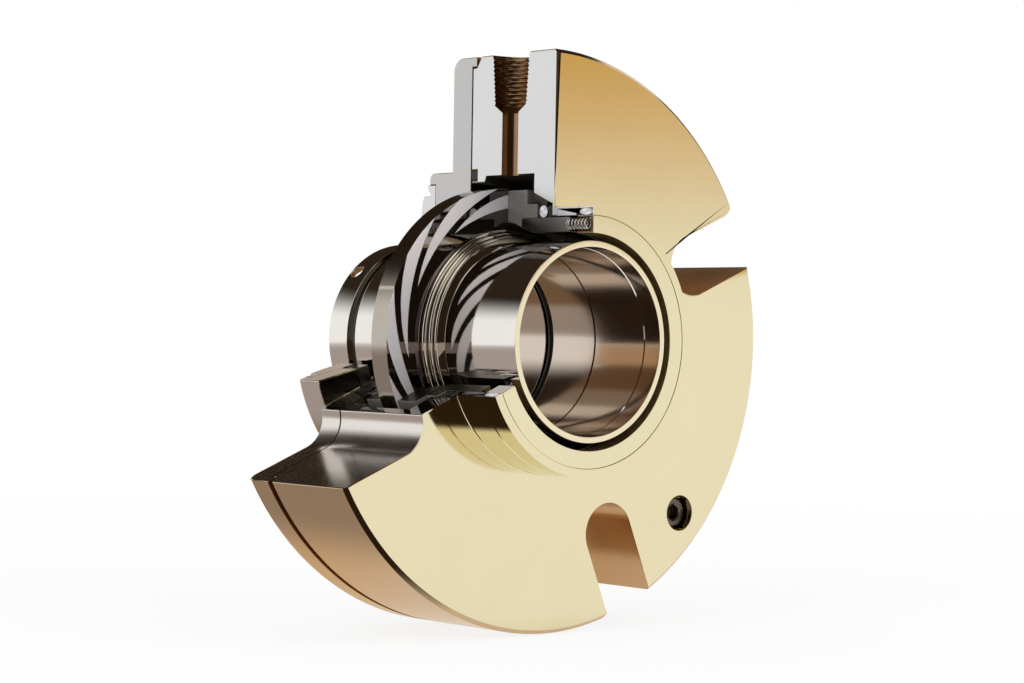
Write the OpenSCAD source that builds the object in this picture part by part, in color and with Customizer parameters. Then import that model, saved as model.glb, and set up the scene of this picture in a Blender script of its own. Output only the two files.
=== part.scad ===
// Cartridge double gas seal for a 60 mm shaft, cut open to show its inside.
// The shaft runs along Y. The outboard end faces -Y and the machine is on +Y.
// The origin is on the shaft axis, in the face that lies against the machine.
// Each piece is drawn along its own +Z, which along_shaft() lays down to -Y.
// Heights below are distances from the machine face, positive outboard.

/* [Shaft sleeve] */
// Diameter of the shaft that the sleeve slides onto
shaft_d = 60; // [56:0.5:62]
// Wall thickness of the plain sleeve
sleeve_wall = 2; // [1.6:0.1:2.2]
// Length of sleeve that stands inboard of the machine face
sleeve_inboard = 25; // [24:0.5:40]
// Diameter of the two drive screw holes near the inboard end
drive_hole_d = 5; // [3:0.5:6]
// Angle of the first drive screw hole, seen from the outboard end
drive_hole_angle = 136; // [0:1:360]
// Width of the groove round the inboard end of the sleeve
end_groove_w = 4.4; // [2:0.1:6]
// Depth of the groove round the inboard end of the sleeve
end_groove_depth = 0.9; // [0.3:0.1:1.1]
// Depth of the relief turned in the middle of the bore
bore_relief = 0.1; // [0.05:0.05:0.3]

/* [Rotor ring] */
// Height of the spinning ring's seat above the sleeve
rotor_seat_h = 2; // [1.8:0.1:2.4]
// How far the spinning ring stands out past the sealing noses
rotor_overhang = 0.5; // [0.2:0.1:1.5]
// Thickness of the spinning ring
rotor_t = 8; // [6:0.5:9]
// Height of the ring's inboard face above the machine face
rotor_back = 21; // [20:0.5:24]
// Number of spiral grooves in each face
groove_count = 11; // [6:1:14]
// Depth of the spiral grooves
groove_depth = 0.12; // [0.05:0.01:0.4]
// Width of the sealing band between the bore of a face and the groove tips
seal_band = 2.3; // [1:0.1:4]
// Angle that the outer edge of a groove turns through, in degrees
groove_sweep = 46; // [30:1:60]
// Angle that the inner edge of a groove turns through, in degrees
groove_sweep_inner = 64; // [61:1:72]

/* [Face rings] */
// Radial gap between the sleeve and a holder
holder_clear = 3; // [2.8:0.1:3.6]
// Wall of the holder that slides in the secondary seal
holder_wall = 4.8; // [4.6:0.1:5.6]
// Radial step from the holder's bore to the bore of the sealing face
face_step = 3.5; // [2:0.1:4.2]
// Radial height of the shoulder behind the nose
shoulder_wall = 4.5; // [4.3:0.1:6]
// Radial height of the nose above the shoulder
nose_wall = 4.7; // [4.4:0.1:6]
// Thickness of the outboard nose
nose_t_out = 9.5; // [8.5:0.1:10]
// Thickness of the inboard nose
nose_t_in = 8; // [7:0.1:8.2]
// Length of the shoulder behind the nose
shoulder_len = 5; // [4:0.1:6]
// Free gap between a holder and the ring that its springs push on
holder_gap = 3.7; // [2:0.1:4.5]
// Travel of each face ring away from the rotor ring
face_travel = 1; // [0.5:0.1:1.5]

/* [Gland] */
// Outer diameter of both gland plates
gland_d = 188; // [184:1:210]
// Thickness of metal between the outboard seal cavity and the gland face
front_wall = 1.4; // [1.2:0.1:4]
// Radius of the rounded outer edges
rim_radius = 4.5; // [1:0.5:6]
// How far the pilot that enters the machine stands out past the chamber wall
pilot_wall = 1.7; // [0.5:0.1:3]
// Length of the pilot
pilot_len = 12; // [11:0.5:14]
// Wall of the outboard boss round its end ring
boss_wall = 2.8; // [2.2:0.1:5]
// Length of the boss outboard of the gland face
boss_len = 18.5; // [16:0.5:22]
// Radial gap between the spinning ring and the chamber wall
chamber_clear = 4.8; // [3.4:0.1:7]
// How far the lip at the inboard end of the chamber stands in from the wall
chamber_lip_h = 2.3; // [0.5:0.1:2.8]
// Width of that lip
chamber_lip_w = 7.3; // [5:0.1:8.5]
// Clearance between a nose and the chamber wall behind it
nose_clear = 3; // [2:0.1:3.4]

/* [Stud slots] */
// Width of the stud slots
slot_w = 20; // [14:0.5:22]
// Metal between the seal chamber and the round end of a slot
slot_land = 3.7; // [2.8:0.1:12]
// Angle of the first slot
slot_angle = 22.5; // [10:0.5:35]
// Number of slots round the gland before it was cut open
slot_count = 4; // [2:1:6]
// Radius of the corner that was eased most
lip_radius_large = 4.5; // [1:0.5:6]
// Radius of the other eased corner
lip_radius_small = 2; // [0.5:0.5:3]
// Radius of the corners left nearly sharp
lip_radius_sharp = 0.5; // [0.2:0.1:1]

/* [Ports and screws] */
// Mouth diameter of the tapped gas port
port_d = 17.4; // [14:0.2:19]
// Depth of the tapped part of the port
port_depth = 17; // [12:0.5:19]
// Pitch of the pipe thread
port_pitch = 1.41; // [1.2:0.01:2]
// Diameter of the drilled hole from the port to the chamber
port_drill_d = 7.4; // [4:0.2:9]
// Shank diameter of the screw that joins the plates
screw_d = 6; // [4:1:6]
// Distance from the screw's axis to the rim of the gland
screw_edge = 12.2; // [9:0.1:14]
// Angle of the screw
screw_angle = -44.4; // [-50:0.1:-40]
// Depth of the screw head below the gland face
screw_recess = 3; // [1:0.5:6]

/* [Springs and pins] */
// Number of springs in a full ring
spring_count = 12; // [8:1:14]
// Diameter of a spring pocket
pocket_d = 4.4; // [3.4:0.1:4.6]
// Depth of a spring pocket
pocket_depth = 6.2; // [4:0.1:6.4]
// Diameter of the spring wire
wire_d = 0.7; // [0.4:0.05:0.8]
// Number of turns in a spring
spring_turns = 6; // [4:1:8]
// Diameter of the pins that stop the face rings from turning
pin_d = 3.6; // [2.6:0.2:4]

/* [Cutaway] */
// Angle at which the removed sector starts
cut_start = 90; // [88:0.5:92]
// Angle at which the removed sector ends
cut_end = 203.5; // [202:0.1:206]

/* [Hidden] */
$fn = 96;

// Radial gap of a sliding fit, and overshoot of a cutting tool
slide_fit = 0.03;
over = 1;

// Heights of one side's pieces, measured from the sealing plane away from the rotor ring
relief_start = 2.4;
relief_end = 12;
holder_seat_back = 2.6;
stop_play = 0.2;
o_ring_d = 3.9;
o_ring_h = shoulder_len + face_travel + stop_play + o_ring_d / 2;
backup_t = 1.8;
backup_back = o_ring_h + o_ring_d / 2 + 0.2;
cavity_after_nose = backup_back + backup_t;
cone_len = cavity_after_nose - nose_clear - 0.5;

// Heights along the axis
rotor_front = rotor_back + rotor_t;
gland_t = rotor_front + nose_t_out + cavity_after_nose + front_wall;
adapter_t = rotor_back - nose_t_in - nose_clear;
boss_top = gland_t + boss_len;
sleeve_top = boss_top;
end_ring_t = 7.5;
end_ring_clear = 2.5;
end_ring_back = boss_top - end_ring_t;
retainer_recess = 3.1;
retainer_floor = pilot_len - retainer_recess;

// Where one side's pieces start and stop
function nose_t(side) = side == "out" ? nose_t_out : nose_t_in;
function wall_h(side) = nose_t(side) + nose_clear;
function cavity_h(side) = nose_t(side) + cavity_after_nose;
function seat_h(side) = nose_t(side) - holder_seat_back;
function stop_h(side) = side == "out" ? end_ring_back - rotor_front : rotor_back + retainer_floor;
function holder_h(side) = stop_h(side) - holder_gap;

// Radii from the sleeve outwards
sleeve_r = shaft_d / 2 + sleeve_wall;
rotor_bore_r = sleeve_r + rotor_seat_h;
holder_bore_r = sleeve_r + holder_clear;
holder_r = holder_bore_r + holder_wall;
face_bore_r = holder_bore_r + face_step;
shoulder_r = holder_r + shoulder_wall;
nose_r = shoulder_r + nose_wall;
rotor_r = nose_r + rotor_overhang;
chamber_r = rotor_r + chamber_clear;
chamber_lip_r = chamber_r - chamber_lip_h;
pilot_r = chamber_r + pilot_wall;
gland_r = gland_d / 2;

// Seats of the secondary seals, and the taper rings round them
guide_clear = 0.4;
guide_bore_r = holder_r + guide_clear;
boss_r = guide_bore_r + boss_wall;
o_ring_bore_r = holder_r + 0.02;
seal_bore_r = o_ring_bore_r + o_ring_d;
cone_small_r = shoulder_r;
cone_rise = 3.5;
cone_large_r = cone_small_r + cone_rise;
cone_ring_end = backup_back - nose_clear - 0.3;
cone_ring_step = shoulder_len + face_travel + stop_play - nose_clear;
shoulder_clear = 0.3;
function relief_r(h) =
    face_bore_r - (h - relief_start) * (face_bore_r - holder_bore_r) / (relief_end - relief_start);

// Sleeve
hub_r = rotor_bore_r + 0.5;
hub_len = 7.5;
hub_start = rotor_back - hub_len;
flange_r = rotor_bore_r + 2;
flange_t = 4;
land_r = rotor_bore_r - slide_fit;
bore_groove_w = 3.8;
bore_groove_depth = 2.6;
bore_groove_start = rotor_back - hub_len + 1.4;
seat_groove_w = 2.4;
seat_groove_depth = 1.8;
seat_groove_back = 1;
relief_from_end = [7.1, 31.1];
end_groove_from_end = 10;
drive_hole_from_end = 3.3;
edge_break = 0.4;

// Clamp collar beads, each [outer radius, width]
collar_gap = 0.35;
collar_beads = [[flange_r + 0.3, 2], [flange_r - 0.9, 1.5], [flange_r - 1.9, 1.3]];
collar_web_r = sleeve_r + 1;

// Rotor ring
groove_tip_r = face_bore_r + seal_band;
groove_first_angle = -171;
rotor_bevel = 0.5;

// Drive keys that lie half in the sleeve and half in the rotor ring
key_r = 1.5;
key_len = 4.2;
key_angles = [45, 225];

// Gland details
register_depth = 3.5;
register_h = 2;
register_gap = 0.1;
rim_notch_w = 3;
plate_groove_w = 3.6;
plate_groove_depth = 3;
plate_groove_r = chamber_r + 0.4;
boss_line_h = 0.61 * boss_len;
boss_line_w = 0.3;
boss_line_depth = 0.9;
pilot_round = 2;

// Stud slots
slot_centre_r = chamber_r + slot_land + slot_w / 2;

// Screw, with the head that its size calls for
screw_r = gland_r - screw_edge;
head_r = screw_d * 0.83;
head_h = screw_d;
head_round = 0.6;
counterbore_r = head_r + 0.85;
screw_clear = 0.3;
screw_fit = 0.02;
socket_w = screw_d * 0.83;
socket_depth = screw_d * 0.5;
screw_end = 3;
thread_end = 2;

// Port thread, on a taper of 1 in 16
port_taper = 1 / 16;
port_mouth = 1.2;
port_mouth_flare = 0.7;
thread_depth = 0.75;
thread_turns = floor((port_depth - 1) / port_pitch);
drill_point_slope = 0.6;

// Springs stand on a circle in the middle of the holder's end
spring_circle_r = (holder_r + holder_bore_r) / 2;
spring_play = 0.25;
spring_coil_r = pocket_d / 2 - wire_d / 2 - spring_play;
wire_sides = 4;
steps_per_turn = 8;

// Pins stand in the chamber wall and reach into notches in the nose
pin_gap = 0.3;
pin_circle_r = cone_large_r + pin_gap + pin_d / 2;
pin_hole_depth = 6;
pin_reach = 4.5;
pin_notch_clear = 0.2;
pin_count = 3;
pin_first_angle = 20;
notch_front = 1.5;

// Inboard retainer: a flange with a lip, and a hub whose end slopes in two steps
retainer_rim = 4;
retainer_r = pilot_r - retainer_rim;
retainer_bore_r = hub_r;
retainer_lip_proud = 0.8;
retainer_flange_sink = 0.5;
retainer_hub_step = 3.7;
retainer_hub_proud = 4.3;
retainer_lip_h = pilot_len + retainer_lip_proud;
retainer_lip_w = 1.9;
retainer_lip_foot = 2.6;
retainer_flange_h = pilot_len - retainer_flange_sink;
retainer_hub_r = retainer_r - retainer_hub_step;
retainer_end_h = pilot_len + retainer_hub_proud;
retainer_slope = [[0, 1.4], [1.8, 0.6], [6.4, 0]];

function is_kept(angle) = angle <= cut_start || angle >= cut_end;

module along_shaft() {
    rotate([90, 0, 0]) children();
}

// Places one side's pieces: z = 0 is the sealing plane and z grows away from the rotor ring
module on_side(side) {
    if (side == "out")
        translate([0, 0, rotor_front]) children();
    else
        translate([0, 0, rotor_back]) mirror([0, 0, 1]) children();
}

module removed_sector() {
    reach = gland_d;
    third = (cut_end - cut_start) / 3;
    translate([0, 0, -sleeve_inboard - over])
        linear_extrude(height = sleeve_inboard + boss_top + 2 * over)
            polygon([[0, 0], for (i = [0:3]) reach * [cos(cut_start + i * third), sin(cut_start + i * third)]]);
}

module cut_open() {
    difference() {
        children();
        removed_sector();
    }
}

// The sliver outside a rounded corner; sx and sy point from the corner into the body
module corner_waste(x, y, r, sx, sy) {
    translate([x, y])
        scale([sx, sy])
            difference() {
                translate([-over, -over]) square(r + over);
                translate([r, r]) circle(r);
            }
}

// A closed ring of rectangular section
module ring(inner, outer, bottom, top) {
    rotate_extrude() translate([inner, bottom]) square([outer - inner, top - bottom]);
}

module torus(centre_r, section_d, height) {
    rotate_extrude() translate([centre_r, height]) circle(d = section_d, $fn = 48);
}

// Outline of one stud slot along +X, with eased corners where it meets the rim
module slot_outline(lip_low, lip_high) {
    translate([slot_centre_r, 0]) circle(d = slot_w);
    translate([slot_centre_r, -slot_w / 2]) square([gland_r, slot_w]);
    lip_waste(lip_high);
    mirror([0, 1]) lip_waste(lip_low);
}

module lip_waste(r) {
    y = slot_w / 2 + r;
    x = sqrt(pow(gland_r - r, 2) - y * y);
    toward_rim = [x, y] * (gland_r + over) / (gland_r - r);
    difference() {
        polygon([[x, slot_w / 2 - over], [gland_r + over, slot_w / 2 - over], toward_rim, [x, y]]);
        translate([x, y]) circle(r);
    }
}

module stud_slots() {
    lips = [
        [lip_radius_sharp, lip_radius_large],
        [lip_radius_sharp, lip_radius_sharp],
        [lip_radius_sharp, lip_radius_sharp],
        [lip_radius_small, lip_radius_sharp]
    ];
    translate([0, 0, -over])
        linear_extrude(height = gland_t + 2 * over)
            for (i = [0:slot_count - 1]) {
                lip = lips[i % len(lips)];
                rotate(slot_angle + i * 360 / slot_count) slot_outline(lip[0], lip[1]);
            }
}

// Tapped gas port: the ridges are turned as rings, one for each thread
module gas_port() {
    mouth_r = port_d / 2;
    bottom_r = mouth_r - port_depth * port_taper;
    drill_r = port_drill_d / 2;
    point = (bottom_r - thread_depth - drill_r) * drill_point_slope;
    thread = [
        for (i = [0:thread_turns - 1]) each [
            [mouth_r - thread_depth - (i * port_pitch) * port_taper, port_mouth + i * port_pitch],
            [mouth_r - ((i + 0.5) * port_pitch) * port_taper, port_mouth + (i + 0.5) * port_pitch]
        ]
    ];
    end_r = bottom_r - thread_depth;
    translate([0, gland_r, rotor_front])
        rotate([90, 0, 0])
            rotate_extrude()
                polygon(concat(
                    [[0, -over], [mouth_r + port_mouth + over, -over], [mouth_r + port_mouth_flare, 0]],
                    thread,
                    [
                        [end_r, port_mouth + thread_turns * port_pitch],
                        [end_r, port_depth],
                        [drill_r, port_depth + point],
                        [drill_r, gland_r - chamber_r + over],
                        [0, gland_r - chamber_r + over]
                    ]
                ));
}

module at_pins() {
    for (i = [0:pin_count - 1]) {
        angle = (pin_first_angle + i * 360 / pin_count) % 360;
        if (is_kept(angle))
            rotate(angle) translate([pin_circle_r, 0, 0]) children();
    }
}

module pin_holes(side) {
    on_side(side)
        at_pins()
            translate([0, 0, wall_h(side) - over])
                cylinder(d = pin_d, h = pin_hole_depth + over, $fn = 32);
}

// Turned outline of the chamber end that both plates share, seen from the sealing plane
function cavity_outline(side) = [
    [cone_large_r, wall_h(side)],
    [cone_small_r, wall_h(side) + cone_len],
    [cone_small_r, cavity_h(side)],
    [guide_bore_r, cavity_h(side)]
];
function out_h(p) = [p[0], rotor_front + p[1]];
function in_h(p) = [p[0], rotor_back - p[1]];

module gland_outline() {
    wall = rotor_front + wall_h("out");
    register_r = gland_r - register_depth;
    difference() {
        polygon(concat(
            [
                [chamber_lip_r, adapter_t],
                [register_r, adapter_t],
                [register_r, adapter_t + register_h],
                [gland_r, adapter_t + register_h + rim_notch_w],
                [gland_r, gland_t],
                [boss_r, gland_t],
                [boss_r, boss_top - edge_break],
                [boss_r - edge_break, boss_top],
                [guide_bore_r, boss_top]
            ],
            [for (i = [3:-1:0]) out_h(cavity_outline("out")[i])],
            [
                [chamber_r, wall],
                [chamber_r, adapter_t + chamber_lip_w],
                [chamber_lip_r, adapter_t + chamber_lip_w]
            ]
        ));
        corner_waste(gland_r, gland_t, rim_radius, -1, -1);
        translate([plate_groove_r - plate_groove_w / 2, adapter_t - over])
            square([plate_groove_w, plate_groove_depth + over]);
        translate([boss_r, gland_t + boss_line_h])
            polygon([
                [over, -boss_line_w],
                [-boss_line_depth, -boss_line_w / 2],
                [-boss_line_depth, boss_line_w / 2],
                [over, boss_line_w]
            ]);
    }
}

module gland_plate() {
    color([0.90, 0.84, 0.66])
        along_shaft()
            cut_open()
                difference() {
                    rotate_extrude() gland_outline();
                    stud_slots();
                    gas_port();
                    rotate(screw_angle)
                        translate([screw_r, 0, 0]) {
                            cylinder(d = screw_d + 2 * screw_clear, h = gland_t + over, $fn = 48);
                            translate([0, 0, gland_t - screw_recess - head_h])
                                cylinder(r = counterbore_r, h = gland_t, $fn = 48);
                        }
                    pin_holes("out");
                }
}

module adapter_outline() {
    register_r = gland_r - register_depth + register_gap;
    difference() {
        polygon(concat(
            [
                [retainer_r, -pilot_len],
                [pilot_r, -pilot_len],
                [pilot_r, 0],
                [gland_r, 0],
                [gland_r, adapter_t + register_h],
                [register_r, adapter_t + register_h],
                [register_r, adapter_t]
            ],
            [for (p = cavity_outline("in")) in_h(p)],
            [
                [guide_bore_r, -retainer_floor],
                [retainer_r, -retainer_floor]
            ]
        ));
        corner_waste(gland_r, 0, rim_radius, -1, 1);
        corner_waste(pilot_r, -pilot_len, pilot_round, -1, 1);
    }
}

module adapter_plate() {
    color([0.84, 0.78, 0.66])
        along_shaft()
            cut_open()
                difference() {
                    rotate_extrude() adapter_outline();
                    stud_slots();
                    rotate(screw_angle)
                        translate([screw_r, 0, thread_end])
                            cylinder(d = screw_d + 2 * screw_fit, h = gland_t, $fn = 48);
                    pin_holes("in");
                }
}

module gland_screw() {
    head_bottom = gland_t - screw_recess - head_h;
    color([0.35, 0.33, 0.31])
        along_shaft()
            rotate(screw_angle)
                translate([screw_r, 0, 0])
                    difference() {
                        union() {
                            translate([0, 0, screw_end])
                                cylinder(d = screw_d, h = head_bottom - screw_end, $fn = 48);
                            translate([0, 0, head_bottom])
                                rotate_extrude()
                                    difference() {
                                        square([head_r, head_h]);
                                        corner_waste(head_r, head_h, head_round, -1, -1);
                                    }
                        }
                        translate([0, 0, head_bottom + head_h - socket_depth])
                            cylinder(d = socket_w / cos(30), h = head_h, $fn = 6);
                    }
}

// The squeezed seal fills its groove, so its section is an oblong with rounded corners
module plate_o_ring() {
    color([0.07, 0.07, 0.07])
        along_shaft()
            cut_open()
                rotate_extrude()
                    translate([plate_groove_r - plate_groove_w / 2 + 0.1, adapter_t]) {
                        w = plate_groove_w - 0.2;
                        h = plate_groove_depth;
                        r = 0.9;
                        difference() {
                            square([w, h]);
                            corner_waste(0, 0, r, 1, 1);
                            corner_waste(w, 0, r, -1, 1);
                            corner_waste(0, h, r, 1, -1);
                            corner_waste(w, h, r, -1, -1);
                        }
                    }
}

module at_springs() {
    for (i = [0:spring_count - 1]) {
        angle = i * 360 / spring_count;
        if (is_kept(angle))
            rotate(angle) translate([spring_circle_r, 0, 0]) children();
    }
}

module spring_pockets(side) {
    on_side(side)
        at_springs()
            translate([0, 0, stop_h(side) - over])
                cylinder(d = pocket_d, h = pocket_depth + over, $fn = 32);
}

module outboard_end_ring() {
    inner = sleeve_r + end_ring_clear;
    color([0.88, 0.82, 0.64])
        along_shaft()
            cut_open()
                difference() {
                    rotate_extrude()
                        polygon([
                            [inner, end_ring_back],
                            [guide_bore_r, end_ring_back],
                            [guide_bore_r, boss_top - edge_break],
                            [guide_bore_r - edge_break, boss_top],
                            [inner + edge_break, boss_top],
                            [inner, boss_top - edge_break]
                        ]);
                    spring_pockets("out");
                }
}

module inboard_retainer() {
    color([0.78, 0.78, 0.77])
        along_shaft()
            cut_open()
                difference() {
                    rotate_extrude()
                        polygon([
                            [retainer_bore_r, -retainer_floor],
                            [retainer_r, -retainer_floor],
                            [retainer_r, -retainer_lip_h],
                            [retainer_r - retainer_lip_w, -retainer_lip_h],
                            [retainer_r - retainer_lip_foot, -retainer_flange_h],
                            [retainer_hub_r, -retainer_flange_h],
                            for (p = retainer_slope) [retainer_hub_r - p[0], p[1] - retainer_end_h],
                            [retainer_bore_r, -retainer_end_h]
                        ]);
                    spring_pockets("in");
                }
}

// Sealing ring with its nose, shoulder and pin notches
module face_ring(side) {
    nose = nose_t(side);
    seat = seat_h(side);
    color([0.42, 0.41, 0.40])
        along_shaft()
            cut_open()
                on_side(side)
                    difference() {
                        rotate_extrude()
                            polygon([
                                [face_bore_r, 0],
                                [nose_r - edge_break, 0],
                                [nose_r, edge_break],
                                [nose_r, nose],
                                [shoulder_r, nose],
                                [shoulder_r, nose + shoulder_len],
                                [holder_r, nose + shoulder_len],
                                [holder_r, seat],
                                [relief_r(seat), seat],
                                [face_bore_r, relief_start]
                            ]);
                        at_pins()
                            translate([0, 0, notch_front])
                                cylinder(r = pin_d / 2 + pin_notch_clear, h = nose, $fn = 32);
                    }
}

// Sleeve that the sealing ring is shrunk onto, and that slides in the secondary seal
module holder(side) {
    seat = seat_h(side);
    color([0.50, 0.49, 0.46])
        along_shaft()
            cut_open()
                on_side(side)
                    rotate_extrude()
                        polygon([
                            [relief_r(seat), seat],
                            [holder_r, seat],
                            [holder_r, holder_h(side) - edge_break],
                            [holder_r - edge_break, holder_h(side)],
                            [holder_bore_r, holder_h(side)],
                            [holder_bore_r, relief_end]
                        ]);
}

module secondary_o_ring(side) {
    color([0.08, 0.08, 0.08])
        along_shaft()
            cut_open()
                on_side(side)
                    torus(o_ring_bore_r + o_ring_d / 2, o_ring_d, nose_t(side) + o_ring_h);
}

module backup_ring(side) {
    color([0.14, 0.13, 0.12])
        along_shaft()
            cut_open()
                on_side(side)
                    ring(holder_r + 0.1, seal_bore_r - 0.1, nose_t(side) + backup_back, cavity_h(side));
}

// Taper ring that fills the cone of the chamber end and carries the secondary seal
module cone_ring(side) {
    wall = wall_h(side);
    slope = (cone_large_r - cone_small_r) / cone_len;
    step = wall + cone_ring_step;
    top = wall + cone_ring_end;
    color([0.24, 0.24, 0.22])
        along_shaft()
            cut_open()
                on_side(side)
                    rotate_extrude()
                        polygon([
                            [shoulder_r + shoulder_clear, wall],
                            [cone_large_r, wall],
                            [cone_large_r - slope * cone_ring_end, top],
                            [seal_bore_r, top],
                            [seal_bore_r, step],
                            [shoulder_r + shoulder_clear, step]
                        ]);
}

// One coil, swept as a four-sided wire round its own axis from z = 0 to z = length
module coil_spring(length) {
    rings = spring_turns * steps_per_turn;
    w = wire_d / 2;
    points = [
        for (k = [0:rings]) for (j = [0:wire_sides - 1])
            let (turn = 360 * k / steps_per_turn, side = 360 * j / wire_sides)
                [
                    (spring_coil_r + w * cos(side)) * cos(turn),
                    (spring_coil_r + w * cos(side)) * sin(turn),
                    w + (length - wire_d) * k / rings + w * sin(side)
                ]
    ];
    sides = [
        for (k = [0:rings - 1]) for (j = [0:wire_sides - 1])
            let (
                a = k * wire_sides + j,
                b = k * wire_sides + (j + 1) % wire_sides,
                c = a + wire_sides,
                d = b + wire_sides
            )
                each [[a, c, b], [b, c, d]]
    ];
    last = rings * wire_sides;
    polyhedron(
        points = points,
        faces = concat(
            sides,
            [[0, 1, 2], [0, 2, 3]],
            [[last, last + 2, last + 1], [last, last + 3, last + 2]]
        )
    );
}

module springs(side) {
    end_play = 0.02;
    color([0.72, 0.72, 0.72])
        along_shaft()
            on_side(side)
                at_springs()
                    translate([0, 0, holder_h(side) + end_play])
                        coil_spring(holder_gap + pocket_depth - 2 * end_play);
}

module pins(side) {
    color([0.68, 0.68, 0.68])
        along_shaft()
            on_side(side)
                at_pins()
                    translate([0, 0, nose_t(side) - pin_reach])
                        cylinder(d = pin_d, h = pin_reach + nose_clear + pin_hole_depth, $fn = 32);
}

module shaft_sleeve() {
    bore_r = shaft_d / 2;
    end_h = -sleeve_inboard;
    color([0.80, 0.80, 0.79])
        along_shaft()
            difference() {
                rotate_extrude()
                    difference() {
                        polygon([
                            [bore_r + edge_break, end_h],
                            [sleeve_r - edge_break, end_h],
                            [sleeve_r, end_h + edge_break],
                            [sleeve_r, hub_start],
                            [hub_r, hub_start],
                            [hub_r, rotor_back - flange_t],
                            [flange_r, rotor_back - flange_t],
                            [flange_r, rotor_back],
                            [land_r, rotor_back],
                            [land_r, rotor_front],
                            [sleeve_r, rotor_front],
                            [sleeve_r, sleeve_top - edge_break],
                            [sleeve_r - edge_break, sleeve_top],
                            [bore_r + edge_break, sleeve_top],
                            [bore_r, sleeve_top - edge_break],
                            [bore_r, end_h + edge_break]
                        ]);
                        translate([bore_r - over, bore_groove_start])
                            square([bore_groove_depth + over, bore_groove_w]);
                        translate([bore_r - over, sleeve_top - relief_from_end[1]])
                            square([bore_relief + over, relief_from_end[1] - relief_from_end[0]]);
                        translate([land_r - seat_groove_depth, rotor_back + seat_groove_back])
                            square([seat_groove_depth + over, seat_groove_w]);
                        translate([sleeve_r - end_groove_depth, end_h + end_groove_from_end])
                            square([end_groove_depth + over, end_groove_w]);
                    }
                for (turn = [0, 180])
                    rotate(drive_hole_angle + turn)
                        translate([0, 0, end_h + drive_hole_from_end])
                            rotate([0, 90, 0])
                                cylinder(d = drive_hole_d, h = 2 * sleeve_r, $fn = 48);
                drive_key_bodies();
            }
}

module drive_key_bodies() {
    for (angle = key_angles)
        rotate(angle)
            translate([land_r, 0, rotor_front - key_len])
                cylinder(r = key_r, h = key_len, $fn = 32);
}

module drive_keys() {
    color([0.60, 0.60, 0.60]) along_shaft() drive_key_bodies();
}

// One spiral groove: both edges leave the tip, and the inner one turns further before the rim
module spiral_groove() {
    steps = 12;
    rim = rotor_r + over;
    growth = ln(rim / groove_tip_r);
    outer_edge = [
        for (i = [0:steps])
            let (t = i / steps, r = groove_tip_r * exp(growth * t), angle = -groove_sweep * t)
                r * [cos(angle), sin(angle)]
    ];
    inner_edge = [
        for (i = [steps:-1:1])
            let (t = pow(i / steps, 2), r = groove_tip_r * exp(growth * t), angle = -groove_sweep_inner * i / steps)
                r * [cos(angle), sin(angle)]
    ];
    polygon(concat(outer_edge, inner_edge));
}

module spiral_grooves() {
    for (i = [0:groove_count - 1])
        rotate(groove_first_angle + i * 360 / groove_count)
            translate([0, 0, -over])
                linear_extrude(height = groove_depth + over)
                    spiral_groove();
}

module rotor_ring() {
    color([0.22, 0.21, 0.20])
        along_shaft()
            difference() {
                rotate_extrude()
                    polygon([
                        [rotor_bore_r, rotor_back],
                        [rotor_r - rotor_bevel, rotor_back],
                        [rotor_r, rotor_back + rotor_bevel],
                        [rotor_r, rotor_front - rotor_bevel],
                        [rotor_r - rotor_bevel, rotor_front],
                        [rotor_bore_r, rotor_front]
                    ]);
                translate([0, 0, rotor_back]) spiral_grooves();
                translate([0, 0, rotor_front]) mirror([0, 0, 1]) spiral_grooves();
                drive_key_bodies();
            }
}

// Collar of three rounded beads that holds the rotor ring against its flange
module clamp_collar() {
    starts = [
        0,
        collar_beads[0][1] + collar_gap,
        collar_beads[0][1] + collar_beads[1][1] + 2 * collar_gap
    ];
    length = starts[2] + collar_beads[2][1];
    color([0.86, 0.80, 0.62])
        along_shaft()
            translate([0, 0, rotor_front])
                rotate_extrude() {
                    translate([sleeve_r, 0]) square([collar_web_r - sleeve_r, length]);
                    for (i = [0:2]) {
                        outer = collar_beads[i][0];
                        w = collar_beads[i][1];
                        translate([sleeve_r, starts[i]]) square([outer - w / 2 - sleeve_r, w]);
                        translate([outer - w / 2, starts[i] + w / 2]) circle(d = w, $fn = 32);
                    }
                }
}

module rotor_seat_o_ring() {
    section = seat_groove_depth;
    color([0.08, 0.08, 0.08])
        along_shaft()
            torus(land_r - section / 2, section, rotor_back + seat_groove_back + seat_groove_w / 2);
}

module sleeve_bore_o_ring() {
    color([0.08, 0.08, 0.08])
        along_shaft()
            torus(
                shaft_d / 2 + bore_groove_depth / 2,
                bore_groove_depth,
                bore_groove_start + bore_groove_w / 2
            );
}

gland_plate();
adapter_plate();
gland_screw();
plate_o_ring();
outboard_end_ring();
face_ring("out");  // outboard_face_ring
holder("out");  // outboard_holder
secondary_o_ring("out");  // outboard_o_ring
backup_ring("out");  // outboard_backup_ring
cone_ring("out");  // outboard_cone_ring
springs("out");  // outboard_springs
pins("out");  // outboard_pins
inboard_retainer();
face_ring("in");  // inboard_face_ring
holder("in");  // inboard_holder
secondary_o_ring("in");  // inboard_o_ring
backup_ring("in");  // inboard_backup_ring
cone_ring("in");  // inboard_cone_ring
springs("in");  // inboard_springs
pins("in");  // inboard_pins
shaft_sleeve();
rotor_ring();
clamp_collar();
rotor_seat_o_ring();
sleeve_bore_o_ring();
drive_keys();
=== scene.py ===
import math

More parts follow.
